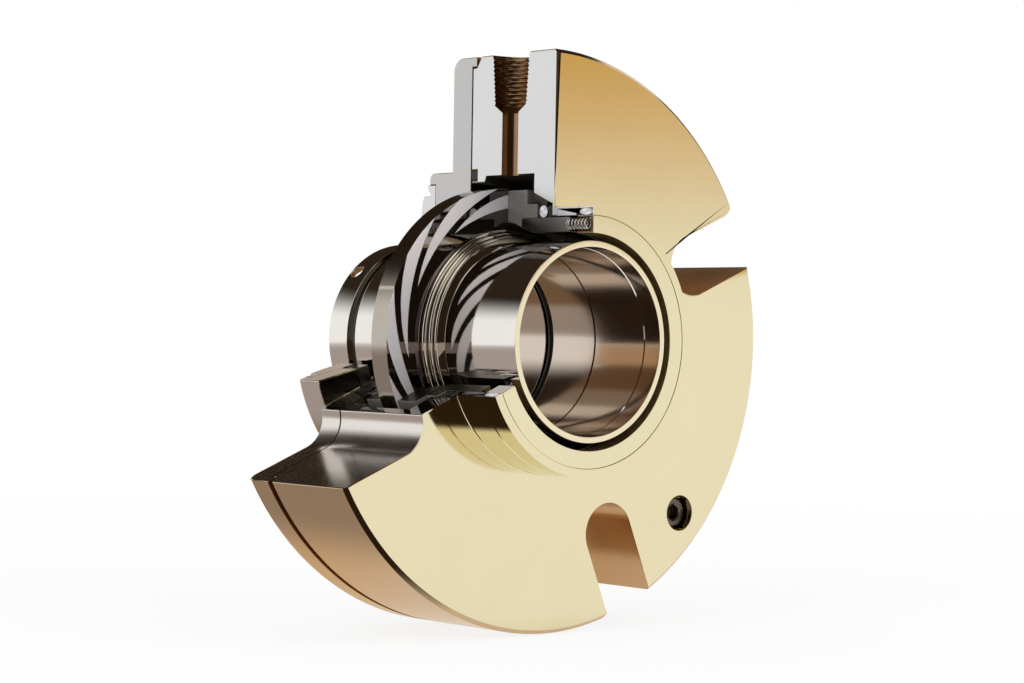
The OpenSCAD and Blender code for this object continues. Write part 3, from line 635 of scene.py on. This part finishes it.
# Adapter plate
# The inboard plate that lies against the machine, with the pilot that enters its bore.
# The same steel; a V shaped groove in the rim marks its joint with the gland plate. The saw left
# the inboard end a little longer at the lower cut, so a block of the pilot stands up there.
RIM_ROUND, PILOT_R, RETAINER_FLOOR, TAPPED_R = 4.5, 56, 8.9, 3.02
BLOCK_SWEEP, BLOCK_A = 255.5, -0.6
adapter_cut_steel = metal("adapter_cut_steel", (0.56, 0.55, 0.55), 0.30, brushed=0.15)
block_cut_steel = metal("block_cut_steel", (0.54, 0.44, 0.34), 0.5, brushed=0.3, metallic=0.2)
block_end_steel = metal("block_end_steel", (0.11, 0.10, 0.08), 0.18, brushed=0.2)
adapter = turned("adapter_plate_body", [
    (RETAINER_R, -PILOT_LEN), *arc((PILOT_R - 2, 2 - PILOT_LEN), 2, 270, 360, 5), (PILOT_R, 0),
    *arc((GLAND_R - RIM_ROUND, RIM_ROUND), RIM_ROUND, 270, 360, 8),
    (GLAND_R, 12), (90.6, 12), (90.6, ADAPTER_T), (CONE_MOUTH_R, ADAPTER_T), (CONE_R, 1.4), (CONE_R, 0.9),
    (GUIDE_R, 0.9), (GUIDE_R, -RETAINER_FLOOR), (RETAINER_R, -RETAINER_FLOOR),
], BLOCK_SWEEP)


def block_tool():
    """The cutter that leaves only the inboard end of a piece between the lower cut and the block's cut."""
    return slab("block_tool", [(0, 0), polar(130, CUT_ANGLES[1]), polar(130, 188)], BLOCK_A, 60)


def on_block_cut(centre, normal):
    """True on the flat face where the inboard block was sawn off."""
    return on_cut(centre, normal, 2)


cut_by(adapter, [block_tool(), *[slot_tool(a, l) for a, l in zip(SLOT_ANGLES, SLOT_LIPS)]])
cut_by(adapter, [
    drill(TAPPED_R, SCREW_X, SCREW_Z, 2, 20),
    *[drill(PIN_R, *polar(PIN_CIRCLE_R, a), 4, 20) for a in PIN_ANGLES],
])
break_edges(adapter, 0.35, lambda p: -p.y > 11.5 and radius_of(p) > RIM_R)
paint_outside(adapter)
# Painted shade in the V groove and along the joint of the plates.
paint(adapter, painted_shade_dark, at_joint)
# Painted shade: the adapter's wall of the V groove is painted dark brown.
paint(adapter, groove_painted_shade, lambda c, n: -c.y > 11.9)
# Painted shade on the adapter's inner faces round the chamber.
paint(adapter, painted_shade_dark, lambda c, n: radius_of(c) < PILOT_R - 0.1 and -9.95 < c.y < -0.5)
paint(adapter, adapter_cut_steel, on_cut)
paint(adapter, cut_mirror, on_lower_cut)
paint(adapter, block_cut_steel, on_block_cut)
paint(adapter, block_end_steel, lambda c, n: n.y < -0.9 and abs(c.y + BLOCK_A) < 0.05)
hand_in(adapter, "gland", "adapter_plate")

# Gland screw
# A socket head cap screw in a counterbore holds the two plates together. Blackened alloy
# steel, with a cold-headed hexagon socket whose mouth is countersunk a little.
# It is turned about the shaft's axis, and then moved to its own.
SHANK_R, SCREW_END, SOCKET_R = 3, 3, 2.87
screw_black = metal("blackened_screw_steel", (0.16, 0.13, 0.11), 0.34, clouds=0.25)
screw = turned("gland_screw_body", [
    (0.02, SCREW_END), (SHANK_R - 0.6, SCREW_END), (SHANK_R, SCREW_END + 0.6), (SHANK_R, SCREW_SEAT),
    (SCREW_HEAD_R, SCREW_SEAT), (SCREW_HEAD_R, 48.2),
    *arc((SCREW_HEAD_R - 0.7, 48.3), 0.7, 0, 90, 4), (3.1, 49), (2.7, 48.7), (0.02, 48.7),
], steps=48)
screw.location = Vector((SCREW_X, 0, SCREW_Z)) * MM
bpy.ops.object.transform_apply(location=True, rotation=True, scale=True)
cut_by(screw, [drill(SOCKET_R, SCREW_X, SCREW_Z, 46, 50, sides=6)])
break_edges(screw, 0.1)
screw.data.materials.append(screw_black)
hand_in(screw, "gland", "gland_screw")

# Plate O-ring
# A rubber ring squeezed into a groove between the two plates, so its section is an oblong.
# Moulded black fluoro-rubber, dull where it was cut through.
seal_rubber = rubber("seal_rubber")
plate_seal = turned("plate_o_ring_body", [
    *arc((53.9, 10.9), 0.88, 180, 270, 5), *arc((55.5, 10.9), 0.88, 270, 360, 5),
    *arc((55.5, 12.1), 0.88, 0, 90, 5), *arc((53.9, 12.1), 0.88, 90, 180, 5),
], CUT_SWEEP, 150)
plate_seal.data.materials.append(seal_rubber)
shade_smooth()
hand_in(plate_seal, "gland", "plate_o_ring")

# Springs
# Small coil springs push the holders towards the rotor ring. Hard-drawn nickel alloy wire,
# wound with closed ends. One is wound here and copied to every pocket that the cut left.
SPRING_ANGLES = [a for a in range(0, 360, 30) if a <= 90 or a >= 203.5]
SPRING_CIRCLE_R, WIRE_R, COIL_R, SPRING_GAP = 37.4, 0.35, 1.6, 0.02
SPRING_LENGTH, SPRING_TURNS, RING_TRAVEL = 9.86, 7, 1
HOLDER_END = {"out": 59.3, "in": -5.2}
spring_wire = metal("drawn_spring_wire", (0.72, 0.70, 0.66), 0.16, clouds=0.08)


def copies_round(piece, angles, radius=0, shift=0):
    """Copies a piece, each with its own mesh, to these angles round the shaft, and joins them."""
    made = []
    for angle in angles:
        copy = piece.copy()
        copy.data = piece.data.copy()
        bpy.context.collection.objects.link(copy)
        x, z = polar(radius, angle)
        copy.location = Vector((x, -shift, z)) * MM
        copy.rotation_euler = (0, -math.radians(angle), 0)
        made.append(copy)
    bpy.data.objects.remove(piece)
    select_only(*made)
    if len(made) > 1:
        bpy.ops.object.join()
    bpy.ops.object.transform_apply(location=True, rotation=True, scale=True)
    return made[0]


def coil():
    """One spring about the shaft line, from height 0 to its length, with closed ends."""
    bpy.ops.object.select_all(action="DESELECT")
    bpy.ops.mesh.primitive_circle_add(
        vertices=12, radius=WIRE_R * MM, location=(COIL_R * MM, 0, 0), rotation=(math.pi / 2, 0, 0)
    )
    wire = bpy.context.object
    bpy.ops.object.transform_apply(location=True, rotation=True, scale=True)
    travel = SPRING_LENGTH - 2 * WIRE_R
    use(wire, "SCREW", axis="Z", screw_offset=travel / SPRING_TURNS * MM, iterations=SPRING_TURNS,
        steps=28, render_steps=28, use_normal_calculate=True)
    bpy.ops.object.mode_set(mode="EDIT")
    bpy.ops.mesh.select_all(action="DESELECT")
    bpy.ops.mesh.select_non_manifold()
    bpy.ops.mesh.edge_face_add()
    close_up(wire)
    # The first and the last turn are pressed flat, and those between share the rest evenly.
    pitch, closed = travel / SPRING_TURNS, 2 * WIRE_R
    for vertex in wire.data.vertices:
        height = vertex.co.z / MM
        turn = math.atan2(vertex.co.y, vertex.co.x) / (2 * math.pi)
        turn += round(height / pitch - turn)
        if turn < 1:
            level = turn * closed
        elif turn > SPRING_TURNS - 1:
            level = travel - (SPRING_TURNS - turn) * closed
        else:
            level = closed + (turn - 1) * (travel - 2 * closed) / (SPRING_TURNS - 2)
        vertex.co.z = (WIRE_R + level + height - turn * pitch) * MM
    wire.rotation_euler = (math.pi / 2, 0, 0)
    bpy.ops.object.transform_apply(location=True, rotation=True, scale=True)
    shade_smooth(50)
    return wire


for side, start in (
    ("out", HOLDER_END["out"] + SPRING_GAP), ("in", HOLDER_END["in"] - SPRING_GAP - SPRING_LENGTH)
):
    springs = copies_round(coil(), SPRING_ANGLES, SPRING_CIRCLE_R, start)
    springs.name = springs.data.name = side + "board_springs_set"
    springs.data.materials.append(spring_wire)
    hand_in(springs, "gland", side + "board_springs")
    seat = start + SPRING_LENGTH if side == "out" else start
    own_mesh(springs)

# Outboard end ring
# A ring let into the end of the boss, with a blind pocket for each spring. Its joint with the
# boss shows as a fine circle on the polished end face.
POCKET_R, POCKET_DEPTH, END_RING_BACK, END_RING_BORE_R = 2.2, 6.2, 63, 34.5
carrier_steel = metal("end_ring_polished_steel", (0.80, 0.72, 0.48), 0.08, rings=0.12)
# Painted warm light: a rough, deep gold on the ring's bore, so that the narrow gap round the sleeve shows
# warm light.
painted_warm_light_gold = metal("gap_painted_warm_light_gold_steel", (0.80, 0.62, 0.30), 0.5, clouds=0.1)
end_ring = turned("outboard_end_ring_body", [
    (END_RING_BORE_R, END_RING_BACK), (GUIDE_R, END_RING_BACK), (GUIDE_R, BOSS_TOP - 0.3),
    (GUIDE_R - 0.3, BOSS_TOP), (END_RING_BORE_R, BOSS_TOP),
], CUT_SWEEP)


def pocket_tool(start):
    """The cutter of all the spring pockets of one ring."""
    pocket = drill(POCKET_R, 0, 0, 0, POCKET_DEPTH + 1, 32)
    return copies_round(pocket, SPRING_ANGLES, SPRING_CIRCLE_R, start)


cut_by(end_ring, [pocket_tool(END_RING_BACK - 1)])
break_edges(end_ring, 0.12)
end_ring.data.materials.append(carrier_steel)
# Painted shade in the spring pockets.
paint(end_ring, pocket_painted_shade, lambda c, n: (
    c.y > -69.5 and abs(n.y) < 0.9 and END_RING_BORE_R + 0.3 < radius_of(c) < GUIDE_R - 0.3
))
# Painted warm light in the gap round the sleeve.
paint(end_ring, painted_warm_light_gold, lambda c, n: radius_of(c) < END_RING_BORE_R + 0.2 and abs(n.y) < 0.5)
# Painted shade: the ring's upper cut face is painted dark brown.
paint(end_ring, pocket_painted_shade, on_cut)
paint(end_ring, cut_mirror, on_lower_cut)
hand_in(end_ring, "gland", "outboard_end_ring")

# Inboard retainer
# The turned ring in the end of the pilot that holds the inboard springs, with a lip round
# its edge and a hub whose end falls away in two slopes. Bright stainless steel.
retainer_bright = metal("retainer_bright_steel", (0.78, 0.77, 0.75), 0.10, rings=0.2)
retainer = turned("inboard_retainer_body", [
    (END_RING_BORE_R, -RETAINER_FLOOR), (RETAINER_R, -RETAINER_FLOOR), (RETAINER_R, -12.8),
    (50.1, -12.8), (49.4, -11.5), (48.3, -11.5),
    (48.3, -14.9), (46.5, -15.7), (41.9, -16.3), (END_RING_BORE_R, -16.3),
], BLOCK_SWEEP)
cut_by(retainer, [pocket_tool(-RETAINER_FLOOR - POCKET_DEPTH)])
break_edges(retainer, 0.12, smooth=6)
retainer.data.materials.append(retainer_bright)
# Painted shade along the joint of the retainer and the pilot.
paint(retainer, painted_shade_dark, at_joint)
paint(retainer, cut_steel, on_cut)
paint(retainer, block_cut_steel, on_block_cut)
hand_in(retainer, "gland", "inboard_retainer")

# Face rings
# The two stationary sealing rings: fine carbon graphite, lapped flat on the nose, with a
# shoulder behind it and two notches for the pins that keep them from turning.
ROTOR_BACK, ROTOR_FRONT = 21, 29
NOSE, FACE_A, OUTWARD = {"out": 9.5, "in": 8}, {"out": ROTOR_FRONT, "in": ROTOR_BACK}, {"out": 1, "in": -1}
NOSE_BORE_R, NOSE_R, SHOULDER_LEN, HOLDER_R, BORE_LEN = 38.5, 49, 5, 39.8, 2.4


def behind_face(side, section):
    """A section given as radius and distance behind the ring's sealing face, set in its place."""
    return [(radius, FACE_A[side] + OUTWARD[side] * height) for radius, height in section]


def shrink_seat(side):
    """Where the holder ends in the carbon ring, behind the sealing face, and its bore there."""
    seat = NOSE[side] - 2.6
    return seat, NOSE_BORE_R - (seat - BORE_LEN) * 3.5 / 9.6


def carbon(name, colour, roughness):
    """Lapped carbon graphite: grey, with fine dark grains."""
    material, nodes, links, shader, place = glossy_material(name)
    shader.inputs["Specular IOR Level"].default_value = 0.8
    grain = nodes.new("ShaderNodeTexVoronoi")
    grain.inputs["Scale"].default_value = 1600
    links.new(place, grain.inputs["Vector"])
    shade = nodes.new("ShaderNodeValToRGB")
    shade.color_ramp.elements[0].color = (*[c * 0.8 for c in colour], 1)
    shade.color_ramp.elements[1].color = (*[c * 1.2 for c in colour], 1)
    links.new(grain.outputs["Distance"], shade.inputs[0])
    links.new(shade.outputs[0], shader.inputs["Base Color"])
    gloss = spread(nodes, links, grain.outputs["Distance"], roughness * 0.8, roughness * 1.2)
    links.new(gloss, shader.inputs["Roughness"])
    return material


graphite = carbon("lapped_graphite", (0.12, 0.112, 0.105), 0.35)
for side in ("out", "in"):
    nose, (seat, seat_r) = NOSE[side], shrink_seat(side)
    ring = turned(side + "board_face_ring_body", behind_face(side, [
        (NOSE_BORE_R, 0), (NOSE_R, 0), (NOSE_R, nose), (CONE_R, nose), (CONE_R, nose + SHOULDER_LEN),
        (HOLDER_R, nose + SHOULDER_LEN), (HOLDER_R, seat), (seat_r, seat), (NOSE_BORE_R, BORE_LEN),
    ]), CUT_SWEEP)
    ends = sorted(height for _, height in behind_face(side, [(0, 1.5), (0, nose + 1)]))
    cut_by(ring, [drill(PIN_R + 0.2, *polar(PIN_CIRCLE_R, a), *ends, 32) for a in PIN_ANGLES])
    break_edges(ring, 0.2)
    ring.data.materials.append(graphite)
    # Painted shade: the lower cut face is painted near-black.
    paint(ring, painted_shade_dark, on_lower_cut)
    hand_in(ring, side + "board_ring", side + "board_face_ring")

# Holders
# The steel sleeves that the carbon rings are shrunk onto. They slide in the secondary seals,
# so their outside is ground; their bore is turned to a shallow taper behind the nose.
HOLDER_BORE_R, HOLDER_TAPER_END = 35, 12
holder_steel = metal("ground_holder_steel", (0.24, 0.225, 0.205), 0.26, rings=0.3)
for side in ("out", "in"):
    (seat, seat_r), end = shrink_seat(side), abs(HOLDER_END[side] - FACE_A[side])
    ring = turned(side + "board_holder_body", behind_face(side, [
        (seat_r, seat), (HOLDER_R, seat), (HOLDER_R, end), (HOLDER_BORE_R, end),
        (HOLDER_BORE_R, HOLDER_TAPER_END),
    ]), CUT_SWEEP if side == "out" else BLOCK_SWEEP)
    if side == "in":
        cut_by(ring, [block_tool()])
    break_edges(ring, 0.2)
    ring.data.materials.append(holder_steel)
    # Painted shade: the lower cut face is painted near-black.
    paint(ring, painted_shade_dark, on_lower_cut)
    hand_in(ring, side + "board_ring", side + "board_holder")

# Secondary seals and their backup rings
# A rubber ring round each holder lets it slide and still seals, and a hard polymer ring
# behind it stops the gas pressure from squeezing it through the gap.
SEAL_R, SEAL_SECTION_R, BACKUP_BORE_R, BACKUP_R, BACKUP_T = 41.77, 1.94, 39.9, 43.62, 1.8
backup_dark = rubber("backup_polymer_dark", (0.018, 0.015, 0.012), 0.4)
for side in ("out", "in"):
    nose, back = NOSE[side], NOSE[side] + 10.3
    centre, = behind_face(side, [(SEAL_R, nose + 8.15)])
    seal = turned(side + "board_o_ring_body", arc(centre, SEAL_SECTION_R, 0, 345, 23), CUT_SWEEP, 150)
    seal.data.materials.append(seal_rubber)
    # Painted highlight: the cut face of each rubber ring is painted white.
    paint(seal, polymer_white_and_highlight, on_cut)
    shade_smooth()
    hand_in(seal, "gland", side + "board_o_ring")
    backup = turned(side + "board_backup_ring_body", behind_face(side, [
        (BACKUP_BORE_R, back), (BACKUP_R, back), (BACKUP_R, back + BACKUP_T),
        (BACKUP_BORE_R, back + BACKUP_T),
    ]), CUT_SWEEP, 150)
    break_edges(backup, 0.15)
    backup.data.materials.append(backup_dark)
    hand_in(backup, "gland", side + "board_backup_ring")

# Cone rings
# Taper rings that fill the cone at each end of the chamber and carry the secondary seals.
# Dark steel, turned on all sides.
cone_dark = metal("cone_ring_dark_steel", (0.07, 0.065, 0.052), 0.3, rings=0.25)
for side in ("out", "in"):
    wall = NOSE[side] + 3
    cone = turned(side + "board_cone_ring_body", behind_face(side, [
        (44.6, wall), (CONE_MOUTH_R, wall), (44.95, wall + 7), (43.72, wall + 7),
        (43.72, wall + 3.2), (44.6, wall + 3.2),
    ]), CUT_SWEEP)
    break_edges(cone, 0.12)
    cone.data.materials.append(cone_dark)
    hand_in(cone, "gland", side + "board_cone_ring")

# Pins
# Ground pins pressed into the chamber walls reach into the notches of the face rings and
# keep them from turning. Their ends are rounded.
pin_steel = metal("ground_pin_steel", (0.68, 0.67, 0.65), 0.16, clouds=0.06)
for side, back, front in (("out", 34, 47.5), ("in", 4, 17.5)):
    pin = turned("pin_blank", [
        (0.02, back), *arc((PIN_R - 0.5, back + 0.5), 0.5, 270, 360, 3),
        *arc((PIN_R - 0.5, front - 0.5), 0.5, 0, 90, 3), (0.02, front),
    ], steps=32)
    pins = copies_round(pin, PIN_ANGLES, PIN_CIRCLE_R)
    pins.name = pins.data.name = side + "board_pins_set"
    pins.data.materials.append(pin_steel)
    shade_smooth()
    hand_in(pins, "gland", side + "board_pins")

# Shaft sleeve
# The bright tube that slides over the shaft: stainless steel, ground and polished, with a
# hub and flange behind the rotor ring and grooves for two seals. Two holes take drive screws.
SLEEVE_R, BORE_R, SLEEVE_BACK, KEY_ANGLES, KEY_R = 32, 30, -25, (45, 225), 1.5
LAND_R, HUB_R, HUB_BACK, FLANGE_R, FLANGE_BACK, KEY_BACK = 33.97, 34.5, 13.5, 36, 17, 24.8
DRIVE_HOLE_R, DRIVE_HOLE_A, DRIVE_HOLE_ANGLE = 2.5, -21.7, 136
GROOVE_LINES, SEAL_GROOVE_R = (39.6, 63.3), 32.6
sleeve_bright = metal("sleeve_polished_steel", (0.82, 0.79, 0.74), 0.05, rings=0.04)
end_cream = metal("sleeve_end_steel", (0.84, 0.75, 0.53), 0.12, rings=0.2)
bore_bright = metal("bore_honed_steel", (0.64, 0.55, 0.46), 0.12, rings=0.1)
# Painted shade: near-black for the sleeve's end groove.
end_groove_painted_shade = metal("end_groove_painted_shade_steel", (0.045, 0.035, 0.022), 0.12, rings=0.3)
sleeve = turned("shaft_sleeve_body", [
    (BORE_R, SLEEVE_BACK), (SLEEVE_R, SLEEVE_BACK), *arc((34.24, -12.8), 3.14, 224.5, 135.5, 8),
    (SLEEVE_R, HUB_BACK), (HUB_R, HUB_BACK), (HUB_R, FLANGE_BACK), (FLANGE_R, FLANGE_BACK),
    (FLANGE_R, ROTOR_BACK), (LAND_R, ROTOR_BACK), (LAND_R, 22), (32.17, 22), (32.17, 24.4), (LAND_R, 24.4),
    (LAND_R, ROTOR_FRONT), (SLEEVE_R, ROTOR_FRONT), (SLEEVE_R, BOSS_TOP), (BORE_R, BOSS_TOP),
    (BORE_R, 63.6), (30.35, GROOVE_LINES[1]), (BORE_R, 63.0),
    (BORE_R, 40.0), (30.4, GROOVE_LINES[0]), (BORE_R, 39.2),
    (BORE_R, 18.7), (SEAL_GROOVE_R, 18.7), (SEAL_GROOVE_R, 14.9), (BORE_R, 14.9),
])
bpy.ops.object.select_all(action="DESELECT")
bpy.ops.mesh.primitive_cylinder_add(
    vertices=48, radius=DRIVE_HOLE_R * MM, depth=80 * MM, location=(0, -DRIVE_HOLE_A * MM, 0),
    rotation=(0, math.radians(90 - DRIVE_HOLE_ANGLE), 0),
)
cut_by(sleeve, [bpy.context.object])


def key_drills():
    """The cutters of the holes for the keys, half in the sleeve and half in the rotor ring."""
    return [drill(KEY_R, *polar(LAND_R, a), KEY_BACK, ROTOR_FRONT + 0.5, 32) for a in KEY_ANGLES]


cut_by(sleeve, key_drills())
break_edges(sleeve, 0.3, lambda p: radius_of(p) < BORE_R + 0.6 and 30 < -p.y < 69 or 21.5 < -p.y < 30)
sleeve.data.materials.append(sleeve_bright)
paint(sleeve, end_cream, lambda c, n: -c.y > BOSS_TOP - 0.4)
# Painted shade in the end groove.
paint(sleeve, end_groove_painted_shade, lambda c, n: 31 < radius_of(c) < SLEEVE_R - 0.03 and 10.5 < c.y < 15.1)
paint(sleeve, bore_bright, lambda c, n: radius_of(c) < BORE_R + 1 and abs(n.y) < 0.7 and -20 < -c.y < 70)
# Painted shade in the line groove of the bore.
paint(sleeve, painted_shade_dark, lambda c, n: BORE_R + 0.05 < radius_of(c) < BORE_R + 1 and 39 < -c.y < 40.2)
# Painted warm reflection on the walls of the drive holes.
paint(sleeve, slot_painted_warm_reflection, lambda c, n: (
    abs(-c.y - DRIVE_HOLE_A) < DRIVE_HOLE_R + 0.1 and BORE_R + 0.3 < radius_of(c) < SLEEVE_R - 0.1
))
hand_in(sleeve, "rotor", "shaft_sleeve")

# Rotor ring
# The spinning sealing ring: silicon carbide, lapped to a black mirror on both faces, with
# eleven spiral grooves etched in each, deeper here than the real ones so that they show. They
# pump a film of gas between the faces.
ROTOR_R, ROTOR_BORE_R, GROOVE_TIP_R, GROOVES, GROOVE_FIRST = 49.5, 34, 40.8, 11, -171
GROOVE_OUTER, GROOVE_INNER, GROOVE_DEPTH = 46, 64, 0.12
growth = math.log((ROTOR_R + 1) / GROOVE_TIP_R)
steps = [i / 16 for i in range(17)]
blade = [polar(GROOVE_TIP_R * math.exp(growth * t), -GROOVE_OUTER * t) for t in steps]
blade += [polar(GROOVE_TIP_R * math.exp(growth * t ** 2), -GROOVE_INNER * t) for t in steps[:0:-1]]
lapped_mirror = metal("lapped_ring_mirror", (0.28, 0.26, 0.255), 0.03, clouds=0.05)
rotor_rim = metal("ground_ring_rim", (0.48, 0.43, 0.37), 0.12)
etched_grey = metal("etched_groove", (0.93, 0.90, 0.93), 0.5, clouds=0.05, metallic=0.6)
rotor = turned("rotor_ring_body", [
    (ROTOR_BORE_R, ROTOR_BACK), (ROTOR_R - 0.1, ROTOR_BACK), (ROTOR_R, ROTOR_BACK + 0.1),
    (ROTOR_R, ROTOR_FRONT - 0.1), (ROTOR_R - 0.1, ROTOR_FRONT), (ROTOR_BORE_R, ROTOR_FRONT),
])
for back, front in (
    (ROTOR_BACK - 1, ROTOR_BACK + GROOVE_DEPTH), (ROTOR_FRONT - GROOVE_DEPTH, ROTOR_FRONT + 1)
):
    cutter = slab("groove_tool", blade, back, front)
    cut_by(rotor, [copies_round(cutter, [GROOVE_FIRST + 360 * i / GROOVES for i in range(GROOVES)])])
cut_by(rotor, key_drills())
select_only(rotor)
shade_smooth(25)
rotor.data.materials.append(lapped_mirror)
paint(rotor, rotor_rim, lambda c, n: radius_of(c) > ROTOR_R - 0.2 and abs(n.y) < 0.9)
middle, floor_off = (ROTOR_BACK + ROTOR_FRONT) / 2, (ROTOR_FRONT - ROTOR_BACK) / 2 - GROOVE_DEPTH
paint(rotor, etched_grey, lambda c, n: abs(n.y) > 0.9 and abs(abs(c.y + middle) - floor_off) < 0.02)
hand_in(rotor, "rotor", "rotor_ring")

# Clamp collar
# Three rounded beads, turned in one piece, hold the rotor ring against the sleeve's flange.
# Stainless steel polished to a mirror.
collar_bright = metal("collar_mirror_steel", (0.76, 0.71, 0.62), 0.03)
BEADS, NECK_R, NECK_W, COLLAR_END = ((36.3, 2), (35.1, 1.5), (34.1, 1.3)), 33, 0.35, 34.5
collar_line, start = [(SLEEVE_R, ROTOR_FRONT)], ROTOR_FRONT
for bead, (outer, width) in enumerate(BEADS):
    half = width / 2
    if bead > 0:
        collar_line.append((NECK_R, start))
    collar_line += arc((outer - half, start + half), half, -90, 90, 8)
    start += width
    if bead < len(BEADS) - 1:
        collar_line.append((NECK_R, start))
    start += NECK_W
collar = turned("clamp_collar_body", collar_line + [(SLEEVE_R, COLLAR_END)])
collar.data.materials.append(collar_bright)
shade_smooth(35)
hand_in(collar, "rotor", "clamp_collar")

# Seals and keys of the rotor
# A rubber ring centres the rotor ring on its seat and another seals the sleeve to the shaft.
# Two round keys, half in the sleeve and half in the ring, carry the turning force.
for name, centre, height, section in (
    ("rotor_seat_o_ring", 33.07, 23.2, 0.9), ("sleeve_bore_o_ring", 31.3, 16.8, 1.3)
):
    seal = turned(name + "_body", arc((centre, height), section, 0, 345, 23), steps=150)
    seal.data.materials.append(seal_rubber)
    shade_smooth()
    hand_in(seal, "rotor", name)
key = turned("key_blank", [
    (0.02, KEY_BACK), (KEY_R - 0.2, KEY_BACK), (KEY_R, KEY_BACK + 0.2), (KEY_R, ROTOR_FRONT - 0.2),
    (KEY_R - 0.2, ROTOR_FRONT), (0.02, ROTOR_FRONT),
], steps=32)
keys = copies_round(key, KEY_ANGLES, LAND_R)
keys.name = keys.data.name = "drive_keys_pair"
keys.data.materials.append(pin_steel)
shade_smooth()
hand_in(keys, "rotor", "drive_keys")
